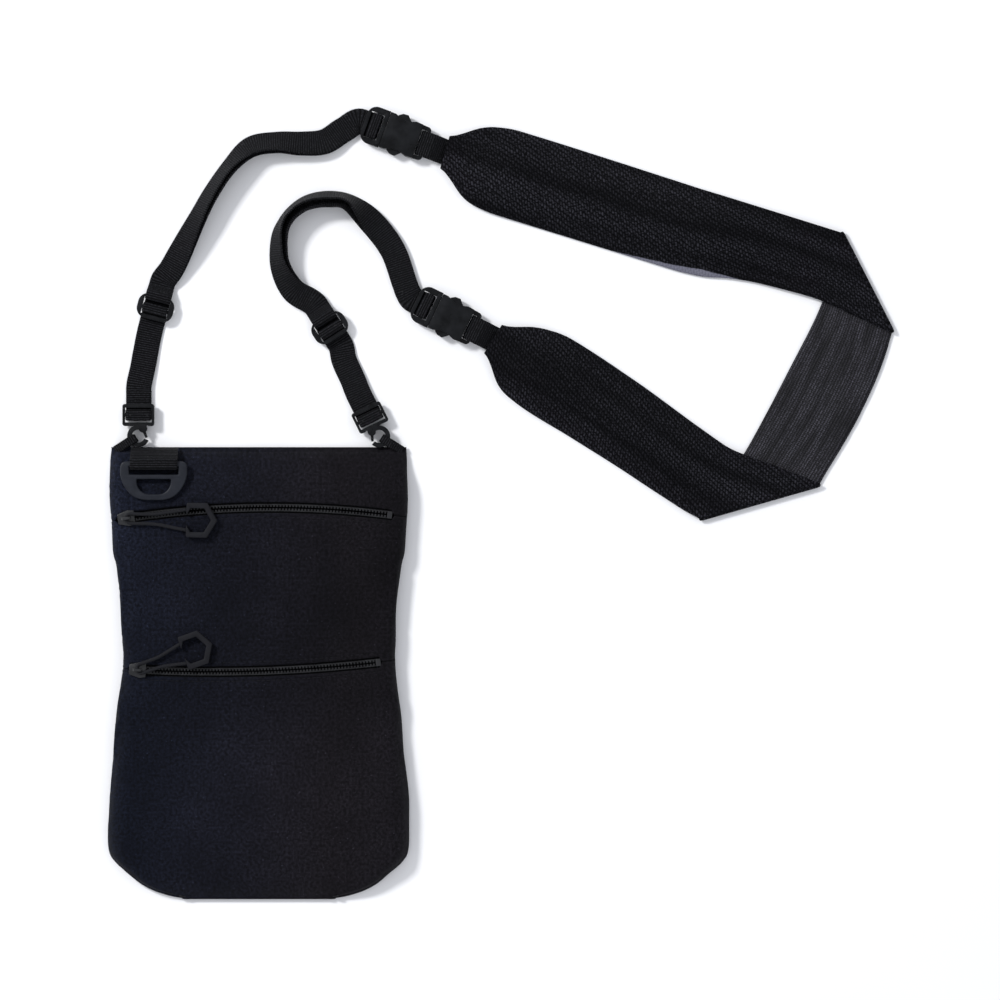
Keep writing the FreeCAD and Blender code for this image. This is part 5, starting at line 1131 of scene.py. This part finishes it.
# Place along the height, half width, share of the front's height, share of the belly's rise.
SHELL_SHARES = [
    (1.0, 0.980, 0.40, 0.0), (0.978, 0.984, 0.60, 0.0), (0.941, 0.990, 0.77, 0.0),
    (0.822, 0.993, 1.0, 0.0), (0.704, 0.989, 1.0, 0.0), (0.548, 0.970, 1.0, 0.0),
    (0.444, 0.937, 1.0, 0.0), (0.148, 0.910, 1.0, 0.0), (0.067, 0.905, 1.0, 0.0),
    (-0.089, 0.925, 1.0, 0.0), (-0.267, 0.961, 1.0, 0.45), (-0.474, 0.985, 1.0, 0.95),
    (-0.607, 1.0, 1.0, 1.0), (-0.778, 0.997, 1.0, 0.7), (-0.840, 0.955, 1.0, 0.25),
    (-0.890, 0.872, 0.93, 0.0), (-0.937, 0.790, 0.77, 0.0), (-0.970, 0.695, 0.60, 0.0),
    (-0.990, 0.595, 0.45, 0.0), (-1.0, 0.510, 0.36, 0.0),
]
FLAT_SHARE, ROUND_SHARE = 0.7, 0.92
TABLE_STEPS = 24


def smooth_table():
    """Half width and height of the pouch at many places along it, on smooth curves."""
    rows = [tuple(2 * a - b for a, b in zip(*SHELL_SHARES[:2]))] + SHELL_SHARES
    rows.append(tuple(2 * a - b for a, b in zip(rows[-1], rows[-2])))
    shares = [
        [smooth_between(four, step / TABLE_STEPS) for four in zip(*rows[span:span + 4])]
        for span in range(len(rows) - 3) for step in range(TABLE_STEPS)
    ]
    return np.array([
        (y * HALF_HEIGHT, w * HALF_WIDTH, f * FRONT_HEIGHT + b * BELLY_RISE)
        for y, w, f, b in shares + [SHELL_SHARES[-1]]
    ])[::-1]


SHELL_TABLE = smooth_table()


def half_at(y):
    return np.interp(y, SHELL_TABLE[:, 0], SHELL_TABLE[:, 1])


def height_at(y):
    return np.interp(y, SHELL_TABLE[:, 0], SHELL_TABLE[:, 2])


def side_wave(c, y):
    """How far the sides of the worn pouch stray from its even outline, none at its middle."""
    side = np.where(np.asarray(c) < 0, 0.0, 1.9)
    wave = 0.35 * np.sin(y * 0.083 + side) + 0.3 * np.sin(y * 0.147 + 1.3 + 2 * side)
    return wave * np.abs(c) ** 3


def shell_place(c, y):
    """Places on the shell's outside, c from -1 at the left side's foot to 1 at the right one's."""
    half, high = half_at(y), height_at(y)
    round_size = high * 0.6
    flat = half - round_size
    share = np.abs(c)
    turn = np.clip((share - FLAT_SHARE) / (ROUND_SHARE - FLAT_SHARE), 0, 1) * math.pi / 2
    x = flat * np.clip(share / FLAT_SHARE, 0, 1) + round_size * np.sin(turn)
    drop = np.clip((share - ROUND_SHARE) / (1 - ROUND_SHARE), 0, 1)
    z = high - round_size + round_size * np.cos(turn) - drop * (high - round_size - FABRIC)
    return np.stack([np.sign(c) * x + side_wave(c, y), y, z], axis=-1)


class ZipArc:
    """A zip's line, an arc across the front."""

    def __init__(self, centre, radius, slope, side, half):
        self.centre, self.radius, self.slope = centre, radius, slope
        self.side, self.half = side, half

    def at(self, along, beside=0.0):
        angle = math.radians(self.slope) - self.side * along / self.radius
        reach = self.side * self.radius + beside
        return self.centre[0] - math.sin(angle) * reach, self.centre[1] + math.cos(angle) * reach

    def line(self, start, end, beside, z, spacing):
        count = max(2, int((end - start) / spacing))
        return [(*self.at(start + (end - start) * k / count, beside), z) for k in range(count + 1)]

    def edge(self, x, beside):
        """Y of the line beside the zip, over places x; the slot closes at its two ends."""
        beyond = x - self.at(0)[0]
        left, right = self.half - LEFT_CLOSED + beyond, self.half - RIGHT_CLOSED - beyond
        inside = np.clip(np.minimum(left, right) / SLOT_EASE, 0, 1)
        gap = np.sign(beside) * (SLOT_LEAST + (abs(beside) - SLOT_LEAST) * inside**0.5)
        reach = self.side * self.radius + gap
        return self.centre[1] + self.side * np.sqrt(reach**2 - (x - self.centre[0]) ** 2)


ZIPS = {
    "upper": ZipArc((7.772, -481.434), 580.687, 0.77598, 1, 88.598),
    "lower": ZipArc((-26.097, 857.013), 855.813, 1.75545, -1, 81.571),
}
# The slot beside a zip: half its width, how far from the zip's ends it closes, and how fast.
HALF_SLOT, SLOT_LEAST = 3.2, 0.1
LEFT_CLOSED, RIGHT_CLOSED, SLOT_EASE = 3.6, 7.3, 1.6
LINING_LEVEL = 8.0
LIP = 1.0
STITCH_IN = 2.5
PANEL_COLUMNS = np.concatenate([
    np.linspace(-1, -ROUND_SHARE, 4)[:-1], np.linspace(-ROUND_SHARE, -FLAT_SHARE, 8)[:-1],
    np.linspace(-FLAT_SHARE, FLAT_SHARE, 61), np.linspace(FLAT_SHARE, ROUND_SHARE, 8)[1:],
    np.linspace(ROUND_SHARE, 1, 4)[1:],
])
# Distances of a panel's first rows from a folded edge and from a plain one, then between the rest.
EDGE_OFFSETS = [0, 0.12, 0.35, 0.7, 1.1, 1.6, 2.1, 2.5, 2.9, 3.5, 4.4]
PLAIN_OFFSETS = [0.0, 0.8, 1.6]
ROW_STEP = 2.2


def seam_dip(distance):
    """How far the fold and its seam draw the cloth in, at a distance from its folded edge."""
    lip = np.clip(LIP - distance, 0, LIP)
    fold = LIP - np.sqrt(np.maximum(LIP**2 - lip**2, 0))
    groove = 0.16 * np.exp(-(((distance - STITCH_IN) / 0.5) ** 2))
    return fold, groove


def panel_rows(top, bottom, long, folded_top, folded_bottom):
    """Y of a panel's rows, and how far each lies from the upper edge, closer at the edges."""
    first, last = (EDGE_OFFSETS if fold else PLAIN_OFFSETS for fold in (folded_top, folded_bottom))
    inside = np.arange(first[-1], long - last[-1], ROW_STEP)[1:]
    offsets = np.concatenate([first, inside, long - np.array(last[::-1])])
    return top + (bottom - top) * (offsets / long)[:, None], offsets


def edge_places(zip_arc, beside, fallback):
    """Y of a panel's edge at each column: beside a zip, or the pouch's own end."""
    if zip_arc is None:
        return np.full(len(PANEL_COLUMNS), fallback)
    y = np.full(len(PANEL_COLUMNS), zip_arc.at(0, beside)[1])
    for _ in range(4):
        y = zip_arc.edge(shell_place(PANEL_COLUMNS, y)[:, 0], beside)
    return y


def slack(grid, pins, seed):
    """Slow folds and creases of worn cloth, in millimetres along the face, none at its pins."""
    lift = []
    for x, y in grid[..., :2].reshape(-1, 2):
        spot = Vector((x, y, seed * 40.0))
        crease = 1 - 2 * abs(noise.noise(Vector((x * 0.035, y * 0.02, seed * 17.0))))
        wide, fine = noise.noise(spot * 0.016), noise.noise(spot * 0.11)
        lift.append(0.9 * wide + 0.35 * crease**3 + 0.1 * fine)
    return (np.array(lift).reshape(pins.shape) - 0.2) * pins


SIM_SCALE = 0.01
SIM_FRAMES = 24
SIM_SETTINGS = dict(
    quality=5, mass=0.35, tension_stiffness=15, compression_stiffness=15, shear_stiffness=6,
    bending_stiffness=3.0, air_damping=3, shrink_min=-0.03, vertex_group_mass="held",
)


def settled(name, grid, pins):
    """Where a panel's cloth settles when it is a little longer than its frame, by cloth simulation.

    The simulation works on a copy ten times as large. The pins are 0 where the cloth is held.
    """
    rows, cols, _ = grid.shape
    mesh = bpy.data.meshes.new(name + "_slack")
    faces = [
        (r * cols + k, (r + 1) * cols + k, (r + 1) * cols + k + 1, r * cols + k + 1)
        for r in range(rows - 1) for k in range(cols - 1)
    ]
    mesh.from_pydata([tuple(p) for p in grid.reshape(-1, 3) * SIM_SCALE], [], faces)
    piece = placed(name + "_slack", mesh)
    held = piece.vertex_groups.new(name="held")
    for index, free in enumerate(pins.reshape(-1)):
        held.add([index], float(1 - min(1.0, free * 6)), "REPLACE")
    cloth = piece.modifiers.new("slack", "CLOTH")
    for setting, value in SIM_SETTINGS.items():
        setattr(cloth.settings, setting, value)
    cloth.settings.effector_weights.gravity = 0.3
    cloth.collision_settings.use_collision = False
    cloth.point_cache.frame_end = SIM_FRAMES
    scene = bpy.context.scene
    for frame_number in range(1, SIM_FRAMES + 1):
        scene.frame_set(frame_number)
    graph = bpy.context.evaluated_depsgraph_get()
    found = piece.evaluated_get(graph).to_mesh()
    places = np.empty(rows * cols * 3)
    found.vertices.foreach_get("co", places)
    piece.evaluated_get(graph).to_mesh_clear()
    piece.modifiers.remove(cloth)
    bpy.data.objects.remove(piece)
    scene.frame_set(1)
    return places.reshape(rows, cols, 3) / SIM_SCALE


def soft_cap(move, most):
    """A move that grows ever more slowly towards the most that is allowed."""
    return most * np.tanh(move / most)


def slack_cloth(name, grid, normal, pins, seed, down, up):
    """The panel's outside with its slack, held within limits on both sides of its even form."""
    start = grid + normal * slack(grid, pins, seed)[..., None]
    place = settled(name, start, pins)
    move = place - grid
    off = (move * normal).sum(axis=-1)
    beside = soft_cap(move - normal * off[..., None], 0.8)
    off = np.where(off > 0, soft_cap(off, up), soft_cap(off, down))
    ramp = np.clip(pins * 3, 0, 1)
    return grid + (normal * off[..., None] + beside) * ramp[..., None]


def shell_threads(grid):
    """Thread coordinates that run down the pouch and across it."""
    return np.stack([-grid[..., 1], grid[..., 0]], axis=-1)


def make_panel(name, node, above, below, seed):
    """One front panel with its slack, its folds at the zips and its closed end."""
    c = PANEL_COLUMNS
    top = edge_places(ZIPS.get(above), -HALF_SLOT, HALF_HEIGHT)
    bottom = edge_places(ZIPS.get(below), HALF_SLOT, -HALF_HEIGHT)
    middle = len(c) // 2
    long = float(top[middle] - bottom[middle])
    y, offsets = panel_rows(top, bottom, long, above, below)
    grid = shell_place(np.broadcast_to(c, y.shape), y)
    folded = [gap for used, gap in ((above, offsets), (below, long - offsets)) if used]
    fold, groove = sum(np.array(seam_dip(gap)) for gap in folded)
    far = np.minimum.reduce([np.full(len(offsets), long)] + folded)
    normal = unit(np.cross(run_ways(grid, 0), run_ways(grid, 1)))
    normal *= -1 if normal[len(offsets) // 2, middle, 2] < 0 else 1
    # Held near its folds and at the sides, and free to hang lower further in
    pins = np.clip((far - 5) / 16, 0, 1)[:, None] * np.clip((0.97 - np.abs(c)) / 0.3, 0, 1)
    depth = np.clip((far - 8) / 24, 0, 1)[:, None]
    grid = slack_cloth(name, grid, normal, pins, seed, 0.5 + 1.8 * depth, 0.18)
    grid = grid - normal * (fold + groove)[:, None, None]
    thick = np.broadcast_to((FABRIC - fold)[:, None], y.shape)
    if not above:
        grid, thick = closed_end(grid, thick, HALF_HEIGHT, 0)
    if not below:
        grid, thick = closed_end(grid, thick, -HALF_HEIGHT, -1)
    make_cloth(
        name, node, "shell_fabric", [black_canvas, lining_cloth],
        grid, shell_threads(grid), thick, degrees=70, outside=0.0,
    )


def closed_end(grid, thick, y, row):
    """The panel carried round the pouch's end, down to the back."""
    edge = grid[row]
    side = 1 if y > 0 else -1
    rows = []
    for share in (0.12, 0.35, 0.65, 1.0):
        added = edge.copy()
        added[:, 2] = FABRIC + (edge[:, 2] - FABRIC) * (1 - share)
        added[:, 1] = y + side * 0.5 * math.sin(math.pi * min(1, share * 1.2))
        added[:, 0] *= 1 - 0.004 * math.sin(math.pi * share)
        rows.append(added)
    extra = np.full((len(rows), len(edge)), FABRIC * 0.8)
    if row == 0:
        return np.concatenate([rows[::-1], grid]), np.concatenate([extra, thick])
    return np.concatenate([grid, rows]), np.concatenate([thick, extra])


def make_back():
    y = np.linspace(HALF_HEIGHT, -HALF_HEIGHT, 121)[:, None]
    c = np.linspace(-1, 1, 41)
    x = half_at(y) * c + side_wave(c, y)
    grid = np.stack([x, np.broadcast_to(y, x.shape), np.full(x.shape, FABRIC / 2)], axis=-1)
    make_cloth(
        "canvas_back", "back_panel", "shell_fabric", [black_canvas] * 2,
        grid, shell_threads(grid), FABRIC, degrees=50, edge_share=0.8,
    )


def make_divider():
    """Lining sheet between the main room and the front pocket, hung from the upper zip."""
    c = np.linspace(-1, 1, 41)
    hung = [(85.2, 12.6), (80.6, 12.6), (79.0, 11.9), (73.0, 8.8), (71.0, LINING_LEVEL)]
    hung += [(float(y), LINING_LEVEL) for y in np.linspace(66, -122, 60)]
    rows = []
    for y, z in hung:
        # The shell's rounded side leaves less room higher up
        margin = 9.2 - math.sqrt(max(0.0, 7.3**2 - max(0.0, z - 6) ** 2))
        half = half_at(y) - margin
        level = np.full(len(c), min(z, height_at(y) - 2.2))
        if z <= LINING_LEVEL:
            level += [0.5 * noise.noise(Vector((half * k * 0.03, y * 0.03, 4.0))) for k in c]
        rows.append(np.stack([half * c, np.full(len(c), y), level], axis=-1))
    grid = np.array(rows)
    piece = make_cloth(
        "pocket_lining", "pocket_divider", "lining_fabric", [lining_cloth] * 2,
        grid, shell_threads(grid), 0.5,
    )


# Zips

TAPE_REACH = 8.1
TOOTH_PITCH = 1.9
TAPE_LEVEL, TAPE_TOP, TAPE_SHEET = 13.15, 13.4, 0.46
TAPE_COLUMNS = [9.0, 8.5, 7.4, 6.0, 4.6, 3.4, 2.3, 1.4, 0.8, 0.5]
STOP_ROOM, HALF_TOOTH = 3.2, 1.0


def make_tapes(tag):
    zip_arc = ZIPS[tag]
    reach = zip_arc.half - TAPE_REACH
    for side, name in ((1, "upper"), (-1, "lower")):
        beside = [side * k for k in TAPE_COLUMNS]
        lengths = np.linspace(-reach, reach, 120)
        grid = np.array([[(*zip_arc.at(x, k), TAPE_LEVEL) for k in beside] for x in lengths])
        own = np.array([[(x, k) for k in beside] for x in lengths])
        node = "%s_zip_%s_" % (tag, name)
        make_cloth(
            node + "woven_tape", node + "tape", "zip_tape", [shade_darkened_tape_cloth] * 2, grid, own, TAPE_SHEET
        )


def small_box(b, low, high, round_size):
    """A box with bevelled edges, added to a bmesh."""
    made = bmesh.ops.create_cube(b, size=1.0)
    for corner in made["verts"]:
        corner.co = Vector([l + (h - l) * (v + 0.5) for l, h, v in zip(low, high, corner.co)])
    edges = list(dict.fromkeys(edge for corner in made["verts"] for edge in corner.link_edges))
    if round_size:
        bmesh.ops.bevel(
            b, geom=edges, offset=round_size, segments=1, affect="EDGES", clamp_overlap=True
        )


def shape_from(name, fill):
    """A small shape whose function draws it in millimetres."""

    def drawn(b):
        fill(b)
        for corner in b.verts:
            corner.co *= MM

    mesh = bpy.data.meshes.new(name)
    rework(mesh, drawn)
    smooth_below(mesh, 40)
    return placed(name, mesh)


def tooth_shape(side):
    """One moulded tooth with its part of the bead; its head points to the zip's middle."""

    def fill(b):
        near, step, far = 0.38 * side, 1.5 * side, 2.18 * side
        # The bead comes first: made after a bevel, its faces would be listed in a changing order
        small_box(b, (-0.95, min(step, far), 0.02), (0.95, max(step, far), 0.9), 0.0)
        small_box(b, (-0.56, min(near, far), 0.02), (0.56, max(near, far), 1.36), 0.24)

    return shape_from("tooth", fill)


# Places along a stitch, and its thickness there.
STITCH_SHARES = [(0, 0.35), (0.12, 0.8), (0.35, 1.0), (0.65, 1.0), (0.88, 0.8), (1, 0.35)]


def stitch_shape(long, thick):
    """One stitch, a short thread pulled in at both ends."""

    def fill(b):
        rings = []
        for share, size in STITCH_SHARES:
            x = (share - 0.5) * long
            sink = -0.5 * thick * (abs(share - 0.5) * 2) ** 3
            reach = thick / 2 * size
            rings.append([
                b.verts.new((x, reach * math.cos(turn), sink + reach * math.sin(turn)))
                for turn in (math.pi * k / 3 for k in range(6))
            ])
        for one, two in zip(rings, rings[1:]):
            for k in range(6):
                b.faces.new((one[k], one[(k + 1) % 6], two[(k + 1) % 6], two[k]))
        b.faces.new(rings[0][::-1])
        b.faces.new(rings[-1])
        bmesh.ops.recalc_face_normals(b, faces=b.faces)

    return shape_from("stitch", fill)


def row_tree():
    """Node tree that sets one small shape at even steps along lines, turned to follow them."""
    tree = bpy.data.node_groups.new("shapes_in_rows", "GeometryNodeTree")
    for name, kind in (
        ("Lines", "Geometry"), ("Step", "Float"), ("Shape", "Object"), ("Finish", "Material"),
        ("Unevenness", "Float"),
    ):
        tree.interface.new_socket(name, in_out="INPUT", socket_type="NodeSocket" + kind)
    tree.interface.new_socket("Rows", in_out="OUTPUT", socket_type="NodeSocketGeometry")
    given = tree.nodes.new("NodeGroupInput").outputs
    curve = add(tree, "GeometryNodeMeshToCurve", ("Mesh", given["Lines"]))
    points = add(
        tree, "GeometryNodeCurveToPoints", ("Curve", curve.outputs[0]), ("Length", given["Step"]),
        mode="LENGTH",
    ).outputs
    turned = add(
        tree, "FunctionNodeAlignRotationToVector", ("Vector", points["Tangent"]),
        axis="X", pivot_axis="Z",
    )
    shape = add(tree, "GeometryNodeObjectInfo", ("Object", given["Shape"])).outputs["Geometry"]
    copies = add(
        tree, "GeometryNodeInstanceOnPoints", ("Points", points["Points"]), ("Instance", shape),
        ("Rotation", turned.outputs[0]),
    )
    swing = add(tree, "FunctionNodeRandomValue", ("Seed", 7), data_type="FLOAT")
    put(swing.inputs[2], times(given["Unevenness"], -1.0))
    put(swing.inputs[3], given["Unevenness"])
    turn = add(tree, "ShaderNodeCombineXYZ", None, None, swing.outputs[1])
    uneven = add(
        tree, "GeometryNodeRotateInstances", ("Instances", copies.outputs[0]),
        ("Rotation", turn.outputs[0]),
    )
    real = add(tree, "GeometryNodeRealizeInstances", ("Geometry", uneven.outputs[0]))
    finished = add(
        tree, "GeometryNodeSetMaterial", ("Geometry", real.outputs[0]),
        ("Material", given["Finish"]),
    )
    put(tree.nodes.new("NodeGroupOutput").inputs[0], finished.outputs[0])
    return tree


ROW_TREE = row_tree()


def rows_along(name, node, slot, lines, shape, step, uneven, finish, stands_in=True):
    """Small shapes in rows along lines given in millimetres, as one plain piece."""
    places, edges = [], []
    for line in lines:
        first = len(places)
        places += [tuple(v * MM for v in p) for p in line]
        edges += [(first + k, first + k + 1) for k in range(len(line) - 1)]
    mesh = bpy.data.meshes.new(name)
    mesh.from_pydata(places, edges, [])
    piece = placed(name, mesh)
    rows = piece.modifiers.new("rows", "NODES")
    rows.node_group = ROW_TREE
    values = {"Step": step * MM, "Shape": shape, "Finish": finish, "Unevenness": uneven}
    for socket in ROW_TREE.interface.items_tree:
        if socket.in_out == "INPUT" and socket.name in values:
            rows[socket.identifier] = values[socket.name]
    piece.update_tag()
    made_plain(piece)
    bpy.data.objects.remove(shape)
    piece.data.materials.clear()
    fit_out(piece, node, slot, finish, stands_in=stands_in)


def make_teeth(tag):
    zip_arc = ZIPS[tag]
    reach = zip_arc.half - TAPE_REACH
    for side, name, phase in ((1, "upper", 0.5), (-1, "lower", 1.0)):
        start, end = -reach + TOOTH_PITCH * phase, reach - STOP_ROOM - HALF_TOOTH
        line = zip_arc.line(start, end, 0.0, TAPE_TOP, 4.0)
        node = "%s_zip_%s_" % (tag, name)
        rows_along(
            node + "tooth_row", node + "teeth", "zip_teeth", [line], tooth_shape(side), TOOTH_PITCH,
            0.0, teeth_plastic,
        )


# Moulded and enamelled fittings

ROUNDED_FROM = 25


def plain_faces(b):
    """Join what lies in one place, and small faces that lie in one plane."""
    bmesh.ops.remove_doubles(b, verts=b.verts, dist=2 * SAME_PLACE)
    bmesh.ops.dissolve_limit(b, angle_limit=math.radians(1.5), verts=b.verts, edges=b.edges)


def moulded(node, finish, slot, round_size):
    """A fitting with its edges rounded, in the place of its plain solid."""
    mesh = frame["nodes"][node].data.copy()
    mesh.name = node + "_fitting"
    mesh.materials.clear()
    rework(mesh, plain_faces)
    piece = placed(mesh.name, mesh)
    rounded = piece.modifiers.new("rounded", "BEVEL")
    rounded.width = round_size * MM
    rounded.segments = 3
    rounded.limit_method = "ANGLE"
    rounded.angle_limit = math.radians(ROUNDED_FROM)
    rounded.use_clamp_overlap = True
    made_plain(piece)
    smooth_below(piece.data, 40)
    fit_out(piece, node, slot, finish)


# The strap's fittings, and how round their edges are in millimetres.
STRAP_FITTINGS = {
    "_hook": 0.4, "_hook_gate": 0.25, "_strap_slider": 0.5, "_buckle_socket": 0.5,
    "_buckle_plug": 0.45, "_buckle_left_prong": 0.3, "_buckle_right_prong": 0.3,
}

make_panel("canvas_top_strip", "front_top_strip", None, "upper", 1)
make_panel("canvas_middle_panel", "front_middle_panel", "upper", "lower", 2)
make_panel("canvas_lower_panel", "front_lower_panel", "lower", None, 3)
make_back()
make_divider()
for tag in ("upper", "lower"):
    make_tapes(tag)
    make_teeth(tag)
    moulded(tag + "_zip_slider", black_enamel, "zip_metal", 0.22)
    moulded(tag + "_zip_end_stop", black_enamel, "zip_metal", 0.2)
    moulded(tag + "_pull_grip", soft_plastic, "soft_plastic", 0.5)
for tag in ("left", "right"):
    for fitting, round_size in STRAP_FITTINGS.items():
        moulded(tag + fitting, hard_plastic, "hard_plastic", round_size)


# Stitching

THREAD_LIFT = 0.02
SEAM_LEVEL = 14.84
# Length and thickness of a stitch, the step to the next, and how far they turn in radians.
SHELL_STITCH = (2.2, 0.32, 3.0, 0.06)
STRAP_STITCH = (1.9, 0.36, 2.6, 0.1)


def on_strap(stretch, x, t):
    """A place on the wide strap's upper face, x from its free end and t to the left."""
    spot = stretch.place(x, stretch.beside(x, t / min(STRAP_HALF, taper_half(x))))
    return spot.x, spot.y, stretch.level(x, t / STRAP_HALF) + STRAP_SHEET / 2 + THREAD_LIFT


def box_stitch(stretch, near, far, half):
    """A sewn box with its two diagonals."""
    corners = [(near, -half), (far, -half), (far, half), (near, half), (near, -half)]
    pairs = list(zip(corners, corners[1:])) + [(corners[0], corners[2]), (corners[1], corners[3])]
    return [
        [on_strap(stretch, x1 + (x2 - x1) * k / 8, t1 + (t2 - t1) * k / 8) for k in range(9)]
        for (x1, t1), (x2, t2) in pairs
    ]


def sew(name, node, slot, lines, long, thick, step, uneven):
    stitch = stitch_shape(long, thick)
    rows_along(name, node, slot, lines, stitch, step, uneven, sewing_thread, stands_in=False)


def make_stitching():
    lines = []
    for zip_arc in ZIPS.values():
        reach = zip_arc.half - 9.5
        for side in (-1, 1):
            beside = side * (HALF_SLOT + STITCH_IN)
            lines.append(zip_arc.line(-reach, reach, beside, SEAM_LEVEL, 3.0))
    y = HALF_HEIGHT - 3.0
    lines.append([(x, y, float(height_at(y)) + THREAD_LIFT) for x in np.linspace(-80, 80, 80)])
    sew("shell_stitches", "front_middle_panel", "shell_fabric", lines, *SHELL_STITCH)
    lines = box_stitch(FIRST, 7, 29, 6.4) + box_stitch(THIRD, 13, 35, 6.4)
    sew("strap_stitches", "wide_strap", "wide_webbing", lines, *STRAP_STITCH)


make_stitching()
